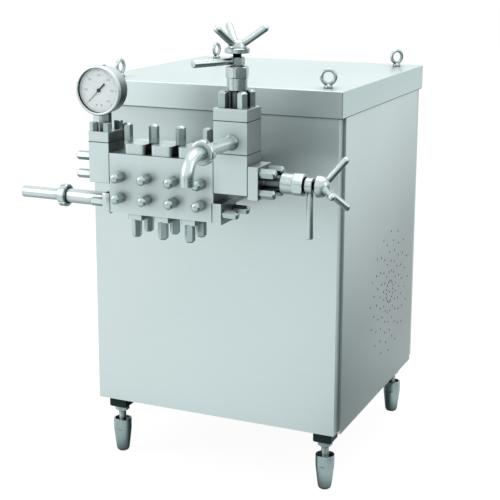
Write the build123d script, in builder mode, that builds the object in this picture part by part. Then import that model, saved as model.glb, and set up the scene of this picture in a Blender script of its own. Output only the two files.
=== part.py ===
"""Two-stage three-plunger homogenizer on a sheet-steel cabinet, in millimetres.

X runs to the operator's right, Y to the rear and Z up. The origin is on the floor,
under the middle of the whole machine.
"""

import os

from math import cos, radians, sin

from build123d import *

# Cabinet
lid_w, lid_d, lid_h = 620, 618, 57
lid_top = 927
sheet = 2
panel_w = 604
panel_bottom, side_bottom, panel_top = 150, 145, 900
panel_set_back = 4
return_d = 30
side_w = 615
post = 40
rail_bottom = 152
shelf_top = 640
eyes = ((-256, 56, 88), (258, 54, 20), (-248, 562, 84), (256, 562, 50))
eye_ring_r, eye_wire_r, eye_collar_r, eye_collar_h = 15, 4, 10, 8
eye_shank_r, eye_shank_len, eye_hole_r = 4, 20, 4.5
slot_len, slot_w, slot_rows, slot_pitch_x, slot_pitch_z, slot_z = 130, 7, 8, 190, 26, 380

# Vent in the right side panel
vent_y, vent_z = 386, 387
vent_rings, vent_arms, vent_first_r, vent_last_r = 6, 16, 27, 153
vent_hole_r, vent_twist = 3, 9

# Levelling feet
foot_x, foot_y = 266, 50
foot_r, foot_h, foot_flat_h = 22, 84, 27
spindle_r, socket_w, socket_bottom = 9, 44, 118
lock_nut_af, lock_nut_h = 30, 11

# Pump block, its cylinders and its covers
block_w, block_d, block_h = 240, 75, 126
block_x, block_front, block_bottom = 4, -245, 679
pitch = 62
plunger_z, plunger_r = 735, 14
stroke = 36
valve_bore_r, gallery_r, suction_r = 17, 7, 10
riser_r, link_r, gauge_bore_r = 8.5, 6, 4
gallery_z, suction_z = 782, 697
cover_w, cover_d, cover_h, cover_corner = 50, 70, 22, 10
foot_plate_w, foot_plate_d, foot_plate_h = 34, 70, 12
stud_row_up, stud_row_down = 757, 713

# Cap nuts
front_nut_af, front_nut_len = 19, 31
side_nut_af, gauge_nut_len = 17, 43
tall_af, tall_len = 19, 40
mid_len = 34
nut_dome, nut_taper = 5, 35
stud_r, side_stud = 5, 26.5
side_plate_t, side_plate_h = 18, 44

# Gauge side
gauge_block_w, gauge_block_d, gauge_block_h, gauge_block_z = 48, 68, 86, 740
gauge_flange_h = 22
gauge_bolt_af, gauge_bolt_h = 16, 19
gauge_y, gauge_z = -217, 933.5
bezel_r, case_r, dial_r = 52.3, 49, 46.5
case_d, case_rear, dial_recess = 40, -202, 5
socket_af, gauge_stem_r = 26, 6.5
needle_len, needle_tail = 35, 19

# Valve tower
tower_w, tower_d = 75, 68
lower_z, upper_z, flange_z, flange_t = 740, 822, 888, 25
bonnet_neck_r, bonnet_r, bonnet_af = 15, 20.8, 43
neck_len, barrel_len, hex_len = 32, 27, 22
bonnet_sink = 5
bonnet_stud = 20.5
screw_r, rod_r, seat_r = 9, 7, 15
chamber, seat_h, disc_t = 28, 12, 6
jam_af, jam_t, jam_gap, collar_r = 27, 16, 2.5, 16
lever_len, lever_root_r, lever_end_r = 95, 6.5, 7.9
first_lever_turn, second_lever_turn = 242, 270
wheel_gap = 8
hub_r, hub_small_r, hub_t, hub_h = 25, 16, 10, 26
second_hub_r = 22
arm_r, arm_reach, arm_rise = 7.4, 56, 49
first_arm_turn, second_arm_turn = 11, 67
second_z = 766
fit, screw_gap = 0.05, 0.2

# Pipes
inlet_reach = 353
pipe_r, pipe_wall, pipe_relief, collar_t = 12.7, 1.5, 0.5, 5
stub_r, stub_len = 15.5, 112
union_r, union_t, union_offset = 24.5, 18, 11.3
outlet_r, outlet_len = 13, 124
elbow_run, elbow_r, elbow_leg = 32, 38, 15
outlet_z = 846

# Drive
case_w, case_front, case_back = 236, 12, 320
crank_y = 205
big_pulley_r, small_pulley_r, pulley_t, pulley_x = 150, 52, 44, 172
motor_y, motor_z, motor_r, motor_len = 430, 292, 105, 250
motor_rail_pitch = 150
belt_t = 9

# Where the cabinet stands: the origin is under the middle of the whole machine
tower_x = block_x + block_w / 2 + tower_w / 2
tower_y = block_front + tower_d / 2
second_start = tower_x + tower_w / 2
second_wheel = flange_t - 2 + neck_len + 6 + barrel_len + hex_len + jam_gap + jam_t + wheel_gap
x_low = -inlet_reach
x_high = second_start + second_wheel + arm_rise + arm_r
outlet_front = block_front - outlet_len - elbow_run - elbow_r
y_low = outlet_front - pipe_r
cab_x = -(x_low + x_high) / 2
cab_y = -(y_low + lid_d) / 2


def at(x, y, z):
    """A point given from the middle of the lid's front edge, on the floor."""
    return (cab_x + x, cab_y + y, z)


def top(x, y, z):
    return Plane(at(x, y, z))


def under(x, y, z):
    return Plane(at(x, y, z), x_dir=(1, 0, 0), z_dir=(0, 0, -1))


def front(x, y, z):
    return Plane(at(x, y, z), x_dir=(1, 0, 0), z_dir=(0, -1, 0))


def rear(x, y, z):
    return Plane(at(x, y, z), x_dir=(-1, 0, 0), z_dir=(0, 1, 0))


def right(x, y, z):
    return Plane(at(x, y, z), x_dir=(0, 1, 0), z_dir=(1, 0, 0))


def left(x, y, z):
    return Plane(at(x, y, z), x_dir=(0, -1, 0), z_dir=(-1, 0, 0))


def save(sub_part, name):
    sub_part.part.label = name
    export_step(sub_part.part, f"parts/{name}.step")


os.makedirs("parts", exist_ok=True)

# Base frame of square tube: posts, three rings of rails, the crankcase shelf and the motor rails.
# Each tube is a solid of its own, cut short by the weld gap at both ends.
post_x = side_w / 2 - sheet - post / 2
post_front = panel_set_back + sheet + return_d + post / 2
post_back = lid_d - post_front
span_x = 2 * post_x - post
span_y = post_back - post_front - post
mid_y = lid_d / 2
wall, weld_gap = 3, 0.1
rail_x, rail_y = span_x - 2 * weld_gap, span_y - 2 * weld_gap
with BuildPart() as base_frame:
    with BuildSketch(top(0, mid_y, rail_bottom)):
        with GridLocations(2 * post_x, post_back - post_front, 2, 2):
            Rectangle(post, post)
            Rectangle(post - 2 * wall, post - 2 * wall, mode=Mode.SUBTRACT)
    extrude(amount=lid_top - sheet - rail_bottom)
    for z in (rail_bottom, shelf_top - post, lid_top - sheet - post):
        with BuildSketch(right(-rail_x / 2, mid_y, z + post / 2)):
            with GridLocations(post_back - post_front, 1, 2, 1):
                Rectangle(post, post)
                Rectangle(post - 2 * wall, post - 2 * wall, mode=Mode.SUBTRACT)
        extrude(amount=rail_x)
        with BuildSketch(rear(0, post_front + post / 2 + weld_gap, z + post / 2)):
            with GridLocations(2 * post_x, 1, 2, 1):
                Rectangle(post, post)
                Rectangle(post - 2 * wall, post - 2 * wall, mode=Mode.SUBTRACT)
        extrude(amount=rail_y)
    with BuildSketch(rear(block_x, post_front + post / 2 + weld_gap, shelf_top - post / 2)):
        with GridLocations(case_w - post, 1, 2, 1):
            Rectangle(post, post)
            Rectangle(post - 2 * wall, post - 2 * wall, mode=Mode.SUBTRACT)
    extrude(amount=rail_y)
    with BuildSketch(right(-rail_x / 2, motor_y, rail_bottom + post / 2)):
        with GridLocations(motor_rail_pitch, 1, 2, 1):
            Rectangle(post, post)
            Rectangle(post - 2 * wall, post - 2 * wall, mode=Mode.SUBTRACT)
    extrude(amount=rail_x)
    with BuildSketch(top(0, 0, lid_top - sheet)):
        with Locations(*((x, y) for x, y, turn in eyes)):
            Circle(eye_hole_r)
    extrude(amount=-wall, mode=Mode.SUBTRACT)
save(base_frame, "base_frame")

# Front panel: a folded tray with the opening for the plunger box
box_w, box_low, box_high = 214, 692, 776
with BuildPart() as front_panel:
    with BuildSketch(top(0, panel_set_back, panel_bottom)):
        with Locations((0, (sheet + return_d) / 2)):
            Rectangle(panel_w, sheet + return_d)
        with Locations((0, sheet + 20)):
            Rectangle(panel_w - 2 * sheet, 40, mode=Mode.SUBTRACT)
    extrude(amount=panel_top - panel_bottom)
    with BuildSketch(front(block_x, panel_set_back + sheet, (box_low + box_high) / 2)):
        Rectangle(box_w + 2, box_high - box_low + 2)
    extrude(amount=2 * sheet, mode=Mode.SUBTRACT)
    with BuildSketch(top(0, panel_set_back + sheet, panel_bottom)):
        with Locations((0, 10)):
            Rectangle(panel_w - 2 * sheet, 20)
    extrude(amount=sheet)
save(front_panel, "front_panel")

# Rear panel: the same tray with two columns of ventilation slots
with BuildPart() as rear_panel:
    with BuildSketch(top(0, lid_d - panel_set_back, panel_bottom)):
        with Locations((0, -(sheet + return_d) / 2)):
            Rectangle(panel_w, sheet + return_d)
        with Locations((0, -sheet - 20)):
            Rectangle(panel_w - 2 * sheet, 40, mode=Mode.SUBTRACT)
    extrude(amount=panel_top - panel_bottom)
    with BuildSketch(rear(0, lid_d - panel_set_back - sheet, slot_z)):
        with GridLocations(slot_pitch_x, slot_pitch_z, 2, slot_rows):
            SlotOverall(slot_len, slot_w)
    extrude(amount=2 * sheet, mode=Mode.SUBTRACT)
save(rear_panel, "rear_panel")


def side_tray(side):
    """A side panel's folded sheet, on the side given as -1 or 1."""
    tray_front = panel_set_back + return_d
    tray_d = lid_d - 2 * tray_front
    with BuildPart() as tray:
        with BuildSketch(top(side * side_w / 2, mid_y, side_bottom)):
            with Locations((-side * sheet / 2, 0)):
                Rectangle(sheet, tray_d)
            with Locations((-side * 3, tray_d / 2 - 1), (-side * 3, 1 - tray_d / 2)):
                Rectangle(5, sheet)
        extrude(amount=panel_top - side_bottom)
        with BuildSketch(top(side * (side_w / 2 - sheet), mid_y, side_bottom)):
            with Locations((-side * 10, 0)):
                Rectangle(20, span_y - 10)
        extrude(amount=sheet)
    return tray.part


# Left side panel
with BuildPart() as left_side_panel:
    add(side_tray(-1))
save(left_side_panel, "left_side_panel")

# Right side panel with its swirl of ventilation holes
ring_step = (vent_last_r - vent_first_r) / (vent_rings - 1)
with BuildPart() as right_side_panel:
    add(side_tray(1))
    with BuildSketch(right(side_w / 2 - 2 * sheet, vent_y, vent_z)):
        Circle(vent_hole_r)
        for ring in range(vent_rings):
            with PolarLocations(vent_first_r + ring * ring_step, vent_arms, start_angle=ring * vent_twist):
                RegularPolygon(vent_hole_r, 8)
    extrude(amount=3 * sheet, mode=Mode.SUBTRACT)
save(right_side_panel, "right_side_panel")

# Lid: a shallow inverted tray with softened edges
with BuildPart() as top_lid:
    with BuildSketch(top(0, mid_y, lid_top - lid_h)):
        Rectangle(lid_w, lid_d)
    extrude(amount=lid_h)
    fillet(top_lid.edges().filter_by(Axis.Z), 3)
    fillet(top_lid.faces().sort_by(Axis.Z)[-1].edges(), 2)
    with BuildSketch(top(0, mid_y, lid_top - lid_h)):
        Rectangle(lid_w - 2 * sheet, lid_d - 2 * sheet)
    extrude(amount=lid_h - sheet, mode=Mode.SUBTRACT)
    with BuildSketch(top(0, 0, lid_top)):
        with Locations(*((x, y) for x, y, turn in eyes)):
            Circle(eye_hole_r)
    extrude(amount=-2 * sheet, mode=Mode.SUBTRACT)
save(top_lid, "top_lid")


def eye_bolt(turn):
    """A lifting eye with its collar and shank, its ring turned about the shank."""
    ring_z = eye_collar_h + eye_ring_r + 1
    with BuildPart() as bolt:
        with BuildSketch():
            Circle(eye_collar_r)
        extrude(amount=eye_collar_h, taper=12)
        with BuildSketch():
            Circle(eye_shank_r)
        extrude(amount=-eye_shank_len)
        ring = Plane((0, 0, ring_z), x_dir=(cos(radians(turn)), sin(radians(turn)), 0), z_dir=(0, 0, 1))
        with BuildSketch(ring):
            with Locations((eye_ring_r, 0)):
                Circle(eye_wire_r)
        revolve(axis=Axis((0, 0, ring_z), (sin(radians(turn)), -cos(radians(turn)), 0)))
    return bolt.part


# Lifting eyes at the lid's corners
with BuildPart() as eye_bolts:
    for x, y, turn in eyes:
        eye = eye_bolt(turn)
        with Locations(top(x, y, lid_top)):
            add(eye)
save(eye_bolts, "eye_bolts")

# Sockets under the frame, with the threaded bores of the feet
foot_pitch = lid_d - 2 * foot_y
with BuildPart() as foot_sockets:
    with BuildSketch(top(0, mid_y, socket_bottom)):
        with GridLocations(2 * foot_x, foot_pitch, 2, 2):
            Rectangle(socket_w, socket_w)
            Circle(spindle_r + fit, mode=Mode.SUBTRACT)
    extrude(amount=rail_bottom - socket_bottom)
    chamfer(foot_sockets.faces().sort_by(Axis.Z)[:4].edges().filter_by(GeomType.LINE), 3)
save(foot_sockets, "foot_sockets")

# Lock nuts on the spindles
with BuildPart() as foot_lock_nuts:
    with BuildSketch(top(0, mid_y, socket_bottom - lock_nut_h)):
        with GridLocations(2 * foot_x, foot_pitch, 2, 2):
            RegularPolygon(lock_nut_af / 2, 6, major_radius=False)
            Circle(spindle_r + fit, mode=Mode.SUBTRACT)
    extrude(amount=lock_nut_h)
save(foot_lock_nuts, "foot_lock_nuts")


def levelling_foot():
    """A bullet-shaped foot with wrench flats, a sunk top and its threaded spindle."""
    with BuildPart() as foot:
        with BuildSketch(Plane.XZ):
            with BuildLine():
                Polyline((0, 0), (7, 0))
                ThreePointArc((7, 0), (13.5, 3), (16, 9))
                Polyline((16, 9), (foot_r, foot_h), (foot_r - 4, foot_h), (foot_r - 5, foot_h - 5))
                Polyline((foot_r - 5, foot_h - 5), (spindle_r, foot_h - 5), (spindle_r, rail_bottom - 4))
                Polyline((spindle_r, rail_bottom - 4), (0, rail_bottom - 4), (0, 0))
            make_face()
        revolve(axis=Axis.Z)
        with BuildSketch(Plane.XY.offset(foot_h - foot_flat_h)):
            with Locations((0, foot_r + 1), (0, -foot_r - 1)):
                Rectangle(3 * foot_r, 8)
        extrude(amount=foot_flat_h, mode=Mode.SUBTRACT)
    return foot.part


# Four levelling feet
foot_solid = levelling_foot()
for side, side_name in ((-1, "left"), (1, "right")):
    for y, end_name in ((foot_y, "front"), (lid_d - foot_y, "rear")):
        with BuildPart() as foot:
            with Locations(top(side * foot_x, y, 0)):
                add(foot_solid)
        save(foot, f"foot_{end_name}_{side_name}")

# Pump block with its plunger bores, valve bores, galleries and stud holes
block_end = block_front + block_d
block_top = block_bottom + block_h
block_mid_y = block_front + block_d / 2
with BuildPart() as pump_block:
    with BuildSketch(front(block_x, block_end, block_bottom + block_h / 2)):
        Rectangle(block_w, block_h)
    extrude(amount=block_d)
    chamfer(pump_block.edges().filter_by(Axis.Y), 1)
    with BuildSketch(top(block_x, block_mid_y, block_bottom)):
        with GridLocations(pitch, 1, 3, 1):
            Circle(valve_bore_r)
    extrude(amount=block_h, mode=Mode.SUBTRACT)
    with BuildSketch(front(block_x, block_end, plunger_z)):
        with GridLocations(pitch, 1, 3, 1):
            Circle(plunger_r + 1)
    extrude(amount=block_d - 10, mode=Mode.SUBTRACT)
    with BuildSketch(right(block_x - block_w / 2, block_mid_y, gallery_z)):
        Circle(gallery_r)
    extrude(amount=block_w, mode=Mode.SUBTRACT)
    with BuildSketch(right(block_x - block_w / 2, block_mid_y, suction_z)):
        Circle(suction_r)
    extrude(amount=block_w, mode=Mode.SUBTRACT)
    with BuildSketch(front(block_x, block_end, (stud_row_up + stud_row_down) / 2)):
        with GridLocations(pitch, stud_row_up - stud_row_down, 4, 2):
            Circle(stud_r + 0.5)
    extrude(amount=block_d, mode=Mode.SUBTRACT)
save(pump_block, "pump_block")


def cap_nut(af, length, stud):
    """A long domed cap nut with its stud, standing on the XY plane."""
    with BuildPart() as nut:
        with BuildSketch():
            RegularPolygon(af / 2, 6, major_radius=False)
        extrude(amount=length - nut_dome)
        with BuildSketch(Plane.XY.offset(length - nut_dome)):
            RegularPolygon(af / 2, 6, major_radius=False)
        extrude(amount=nut_dome, taper=nut_taper)
        if stud:
            with BuildSketch():
                RegularPolygon(stud_r, 12)
            extrude(amount=-stud)
    return nut.part


# Short cap nuts: on the block's front, the gauge block, the inlet flange and the end cover
block_left = block_x - block_w / 2
block_right = block_x + block_w / 2
with BuildPart() as short_cap_nuts:
    block_nut = cap_nut(front_nut_af, front_nut_len, block_d)
    for x in (-1.5, -0.5, 0.5, 1.5):
        for z in (stud_row_up, stud_row_down):
            with Locations(front(block_x + x * pitch, block_front, z)):
                add(block_nut)
    side_nut = cap_nut(side_nut_af, mid_len, 0)
    for y in (-side_stud, side_stud):
        with Locations(right(block_right + side_plate_t, block_mid_y + y, suction_z)):
            add(side_nut)
        with Locations(left(block_left - side_plate_t, block_mid_y + y, suction_z)):
            add(side_nut)
    gauge_nut = cap_nut(side_nut_af, gauge_nut_len, 0)
    for z in (752, 791):
        with Locations(left(block_left - gauge_block_w, tower_y - 10, z)):
            add(gauge_nut)
save(short_cap_nuts, "short_cap_nuts")

# Valve covers on top of the three cylinders, with spigots down the bores
with BuildPart() as valve_covers:
    with BuildSketch(top(block_x, block_mid_y, block_top)):
        with GridLocations(pitch, 1, 3, 1):
            RectangleRounded(cover_w, cover_d, cover_corner)
    extrude(amount=cover_h)
    with BuildSketch(top(block_x, block_mid_y, block_top)):
        with GridLocations(pitch, 1, 3, 1):
            Circle(valve_bore_r - fit)
    extrude(amount=-8)
save(valve_covers, "valve_covers")

# Blank plates under the three cylinders
with BuildPart() as bottom_plates:
    with BuildSketch(under(block_x, block_mid_y, block_bottom)):
        with GridLocations(pitch, 1, 3, 1):
            Rectangle(foot_plate_w, foot_plate_d)
    extrude(amount=foot_plate_h)
    chamfer(bottom_plates.edges().filter_by(Axis.Z), 2)
    with BuildSketch(top(block_x, block_mid_y, block_bottom)):
        with GridLocations(pitch, 1, 3, 1):
            Circle(valve_bore_r - fit)
    extrude(amount=6)
save(bottom_plates, "bottom_plates")

# Tall cap nuts: over the valve covers, under the bottom plates and on both bonnet flanges
tower_top = flange_z + flange_t
second_face = second_start + flange_t - 2
with BuildPart() as tall_cap_nuts:
    cover_nut = cap_nut(tall_af, tall_len, cover_h)
    for x in (-1.5, -0.5, 0.5, 1.5):
        with Locations(top(block_x + x * pitch, block_mid_y - 3, block_top + cover_h)):
            add(cover_nut)
    plate_nut = cap_nut(tall_af, mid_len + 4, 0)
    for x in (-1, 0, 1):
        for y in (-side_stud, side_stud):
            with Locations(under(block_x + x * pitch, block_mid_y + y, block_bottom - foot_plate_h)):
                add(plate_nut)
    bonnet_nut = cap_nut(tall_af, mid_len, 0)
    for u in (-bonnet_stud, bonnet_stud):
        for v in (-bonnet_stud, bonnet_stud):
            with Locations(top(tower_x + u, tower_y + v, tower_top)):
                add(bonnet_nut)
            with Locations(right(second_face, tower_y + u, second_z + v)):
                add(bonnet_nut)
save(tall_cap_nuts, "tall_cap_nuts")

# Valve seats in the cylinders: a suction seat below and a discharge seat above
seat_levels = (709, 757)
with BuildPart() as valve_seats:
    for z in seat_levels:
        with BuildSketch(top(block_x, block_mid_y, z)):
            with GridLocations(pitch, 1, 3, 1):
                Circle(valve_bore_r - fit)
                Circle(8, mode=Mode.SUBTRACT)
        extrude(amount=6)
save(valve_seats, "valve_seats")

# Mushroom valves resting on the seats
with BuildPart() as valve_poppets:
    for z in seat_levels:
        with BuildSketch(top(block_x, block_mid_y, z + 6)):
            with GridLocations(pitch, 1, 3, 1):
                Circle(12)
        extrude(amount=5)
        with BuildSketch(top(block_x, block_mid_y, z + 6)):
            with GridLocations(pitch, 1, 3, 1):
                Circle(4)
        extrude(amount=-10)
save(valve_poppets, "valve_poppets")

# Blank cover on the suction gallery's right end
with BuildPart() as suction_end_cover:
    with BuildSketch(right(block_right, block_mid_y, suction_z)):
        Rectangle(block_d, side_plate_h)
    extrude(amount=side_plate_t)
    chamfer(suction_end_cover.faces().sort_by(Axis.X)[-1].edges(), 1)
    with BuildSketch(left(block_right, block_mid_y, suction_z)):
        Circle(suction_r - fit)
    extrude(amount=6)
save(suction_end_cover, "suction_end_cover")

# Inlet stub: flange, tube and the ferrule that the union nut holds
with BuildPart() as inlet_stub:
    with BuildSketch(left(block_left, block_mid_y, suction_z)):
        Rectangle(block_d, side_plate_h)
    extrude(amount=side_plate_t)
    chamfer(inlet_stub.faces().sort_by(Axis.X)[0].edges(), 1)
    with BuildSketch(left(block_left - side_plate_t, block_mid_y, suction_z)):
        Circle(stub_r)
    extrude(amount=stub_len)
    with BuildSketch(left(block_left, block_mid_y, suction_z)):
        Circle(stub_r - 3)
    extrude(amount=side_plate_t + stub_len, mode=Mode.SUBTRACT)
save(inlet_stub, "inlet_stub")

# Inlet pipe with its collar against the stub
union_x = block_left - side_plate_t - stub_len
with BuildPart() as inlet_pipe:
    with BuildSketch(left(union_x, block_mid_y, suction_z)):
        Circle(pipe_r)
        Circle(pipe_r - pipe_wall, mode=Mode.SUBTRACT)
    extrude(amount=inlet_reach + union_x)
    with BuildSketch(left(union_x, block_mid_y, suction_z)):
        Circle(stub_r + 2)
        Circle(pipe_r - pipe_wall, mode=Mode.SUBTRACT)
    extrude(amount=collar_t)
    with BuildSketch(left(union_x - collar_t, block_mid_y, suction_z)):
        Circle(pipe_r + 1)
        Circle(pipe_r - pipe_relief, mode=Mode.SUBTRACT)
    extrude(amount=union_offset - collar_t + 0.7, mode=Mode.SUBTRACT)
save(inlet_pipe, "inlet_pipe")


def union_nut(small_hole_r, big_hole_r):
    """A rounded union nut on the XY plane: its lip is at z = 0 and its mouth at the far end."""
    lip = 6
    with BuildPart() as nut:
        with BuildSketch():
            Circle(union_r)
        extrude(amount=union_t)
        fillet(nut.edges().filter_by(GeomType.CIRCLE), 5)
        with BuildSketch(Plane.XY.offset(lip)):
            Circle(big_hole_r)
        extrude(amount=union_t, mode=Mode.SUBTRACT)
        with BuildSketch():
            Circle(small_hole_r)
        extrude(amount=lip, mode=Mode.SUBTRACT)
        with PolarLocations(union_r, 4):
            Cylinder(2.5, 3 * union_t, mode=Mode.SUBTRACT)
    return nut.part


# Union nut of the inlet
with BuildPart() as inlet_union_nut:
    with Locations(right(union_x - union_offset, block_mid_y, suction_z)):
        add(union_nut(pipe_r + 0.3, stub_r + 2.3))
save(inlet_union_nut, "inlet_union_nut")

# Gauge block on the block's left end, with its bore to the gallery
gauge_x = block_left - gauge_block_w / 2
gauge_top = gauge_block_z + gauge_block_h
with BuildPart() as gauge_block:
    with BuildSketch(top(gauge_x, tower_y, gauge_block_z)):
        Rectangle(gauge_block_w, gauge_block_d)
    extrude(amount=gauge_block_h)
    chamfer(gauge_block.edges(), 0.8)
    with BuildSketch(top(gauge_x, gauge_y, gallery_z)):
        Circle(gauge_bore_r + 1)
    extrude(amount=gauge_top - gallery_z, mode=Mode.SUBTRACT)
    with BuildSketch(right(gauge_x, tower_y, gallery_z)):
        Circle(gauge_bore_r)
    extrude(amount=gauge_block_w, mode=Mode.SUBTRACT)
save(gauge_block, "gauge_block")

# Gauge flange with the threaded bore that takes the gauge
with BuildPart() as gauge_flange:
    with BuildSketch(top(gauge_x, tower_y, gauge_top)):
        Rectangle(gauge_block_w, gauge_block_d)
    extrude(amount=gauge_flange_h)
    chamfer(gauge_flange.edges(), 0.8)
    with BuildSketch(top(gauge_x, gauge_y, gauge_top)):
        Circle(7)
    extrude(amount=gauge_flange_h, mode=Mode.SUBTRACT)
save(gauge_flange, "gauge_flange")

# Hexagon bolts of the gauge flange
with BuildPart() as gauge_bolts:
    with BuildSketch(top(gauge_x, tower_y, gauge_top + gauge_flange_h)):
        with GridLocations(30, 50, 2, 2):
            RegularPolygon(gauge_bolt_af / 2, 6, major_radius=False)
    extrude(amount=gauge_bolt_h)
    chamfer(gauge_bolts.faces().sort_by(Axis.Z)[-4:].edges(), 1.2)
save(gauge_bolts, "gauge_bolts")

# Gauge case with its hexagon socket below and the cup that holds the dial
gauge_foot = gauge_top + gauge_flange_h
case_face = case_rear - case_d
dial_y = case_face + dial_recess
with BuildPart() as gauge_case:
    with BuildSketch(front(gauge_x, case_rear, gauge_z)):
        Circle(case_r)
    extrude(amount=case_d)
    fillet(gauge_case.faces().sort_by(Axis.Y)[-1].edges(), 4)
    with BuildSketch(front(gauge_x, dial_y, gauge_z)):
        Circle(dial_r + 0.5)
    extrude(amount=2 * dial_recess, mode=Mode.SUBTRACT)
    with BuildSketch(top(gauge_x, gauge_y, gauge_foot + 0.5)):
        RegularPolygon(socket_af / 2, 6, major_radius=False)
    extrude(amount=gauge_z - case_r + 4 - gauge_foot)
    with BuildSketch(top(gauge_x, gauge_y, gauge_foot - 14)):
        Circle(gauge_stem_r)
    extrude(amount=14.5)
save(gauge_case, "gauge_case")

# Dial plate
with BuildPart() as gauge_dial:
    with BuildSketch(front(gauge_x, dial_y, gauge_z)):
        Circle(dial_r)
    extrude(amount=1)
    with BuildSketch(front(gauge_x, dial_y, gauge_z)):
        Circle(1.5)
    extrude(amount=2.5)
save(gauge_dial, "gauge_dial")

# Pointer on its arbor, at rest on zero, with a counterweight tail
zero_angle = radians(225)


def on_needle(forward, aside):
    """A point on the dial, given along and beside the needle at rest."""
    u, v = cos(zero_angle), sin(zero_angle)
    return (forward * u - aside * v, forward * v + aside * u)


with BuildPart() as gauge_pointer:
    with BuildSketch(front(gauge_x, dial_y - 2.8, gauge_z)):
        with BuildLine():
            ends = [(-needle_tail, 2), (-needle_tail, -2), (needle_len, -0.4), (needle_len, 0.4)]
            Polyline(*(on_needle(forward, aside) for forward, aside in ends), close=True)
        make_face()
        Circle(3.5)
    extrude(amount=1)
save(gauge_pointer, "gauge_pointer")

# Window and bezel
with BuildPart() as gauge_window:
    with BuildSketch(front(gauge_x, case_face - 0.2, gauge_z)):
        Circle(dial_r + 1)
    extrude(amount=2)
save(gauge_window, "gauge_window")

with BuildPart() as gauge_bezel:
    with BuildSketch(front(gauge_x, case_face + 5, gauge_z)):
        Circle(bezel_r)
        Circle(case_r + 0.2, mode=Mode.SUBTRACT)
    extrude(amount=5)
    with BuildSketch(front(gauge_x, case_face, gauge_z)):
        Circle(bezel_r)
        Circle(dial_r + 1.2, mode=Mode.SUBTRACT)
    extrude(amount=2.4)
    with BuildSketch(front(gauge_x, case_face - 2.4, gauge_z)):
        Circle(bezel_r)
        Circle(dial_r, mode=Mode.SUBTRACT)
    extrude(amount=2)
    fillet(gauge_bezel.edges().filter_by(GeomType.CIRCLE).sort_by(Axis.Y)[0:2].sort_by(SortBy.LENGTH)[-1], 3)
save(gauge_bezel, "gauge_bezel")

# Lower valve block: joins the gallery to both valve stages
with BuildPart() as lower_valve_block:
    with BuildSketch(top(tower_x, tower_y, lower_z)):
        Rectangle(tower_w, tower_d)
    extrude(amount=upper_z - lower_z)
    chamfer(lower_valve_block.edges(), 0.8)
    with BuildSketch(right(block_right, block_mid_y, gallery_z)):
        Circle(gallery_r)
    extrude(amount=tower_w / 2, mode=Mode.SUBTRACT)
    with BuildSketch(top(tower_x, tower_y, second_z - 10)):
        Circle(riser_r)
    extrude(amount=upper_z - second_z + 10, mode=Mode.SUBTRACT)
    with BuildSketch(left(second_start, tower_y, second_z)):
        Circle(seat_r)
    extrude(amount=chamber, mode=Mode.SUBTRACT)
    with BuildSketch(left(second_start, tower_y, second_z)):
        Circle(link_r)
    extrude(amount=tower_w / 2, mode=Mode.SUBTRACT)
save(lower_valve_block, "lower_valve_block")

# Upper valve block: seat chamber and the outlet bore in its front
outlet_x = tower_x + 2
with BuildPart() as upper_valve_block:
    with BuildSketch(top(tower_x, tower_y, upper_z)):
        Rectangle(tower_w, tower_d)
    extrude(amount=flange_z - upper_z)
    chamfer(upper_valve_block.edges(), 0.8)
    with BuildSketch(top(tower_x, tower_y, upper_z)):
        Circle(seat_r)
    extrude(amount=flange_z - upper_z, mode=Mode.SUBTRACT)
    with BuildSketch(front(outlet_x, tower_y, outlet_z)):
        Circle(outlet_r - 2)
    extrude(amount=tower_d, mode=Mode.SUBTRACT)
save(upper_valve_block, "upper_valve_block")


def valve_seat():
    """A homogenizing seat on the XY plane, with its raised face and central bore."""
    with BuildPart() as seat:
        with BuildSketch(Plane.XZ):
            with BuildLine():
                Polyline(
                    (4, 0), (seat_r - fit, 0), (seat_r - fit, 9), (9, 9), (8, seat_h), (4, seat_h), close=True
                )
            make_face()
        revolve(axis=Axis.Z)
    return seat.part


seat_solid = valve_seat()
with BuildPart() as homogenizing_seats:
    with Locations(top(tower_x, tower_y, upper_z), right(second_start - chamber, tower_y, second_z)):
        add(seat_solid)
save(homogenizing_seats, "homogenizing_seats")


def bonnet():
    """A bonnet on the XY plane: slim neck, turned barrel and hexagon, bored for rod and screw."""
    barrel_z = neck_len
    hex_z = neck_len + barrel_len
    with BuildPart() as body:
        with BuildSketch():
            Circle(bonnet_neck_r)
        extrude(amount=neck_len)
        with BuildSketch(Plane.XY.offset(barrel_z)):
            Circle(bonnet_r)
        extrude(amount=barrel_len)
        chamfer(body.edges().filter_by(GeomType.CIRCLE).group_by(Axis.Z)[1].sort_by(SortBy.LENGTH)[-1], 2.5)
        with BuildSketch(Plane.XY.offset(hex_z)):
            RegularPolygon(bonnet_af / 2, 6, major_radius=False)
            Circle(bonnet_af / 2 + 1.8, mode=Mode.INTERSECT)
        extrude(amount=hex_len)
        with BuildSketch(Plane.XY.offset(hex_z + hex_len)):
            Circle(bonnet_r - 4)
        extrude(amount=-bonnet_sink, mode=Mode.SUBTRACT)
        with BuildSketch():
            Circle(rod_r + fit)
        extrude(amount=neck_len - 8, mode=Mode.SUBTRACT)
        with BuildSketch(Plane.XY.offset(neck_len - 8)):
            Circle(screw_r + screw_gap)
        extrude(amount=barrel_len + hex_len + 8, mode=Mode.SUBTRACT)
    return body.part


# Bonnets and their flanges: the first stage stands up, the second points right
bonnet_solid = bonnet()
second_bonnet_start = second_face + 6
with BuildPart() as bonnet_flange_1:
    with BuildSketch(top(tower_x, tower_y, flange_z)):
        Rectangle(tower_w, tower_d)
        Circle(rod_r + fit, mode=Mode.SUBTRACT)
    extrude(amount=flange_t)
    chamfer(bonnet_flange_1.edges().filter_by(GeomType.LINE), 0.8)
save(bonnet_flange_1, "bonnet_flange_1")

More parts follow.
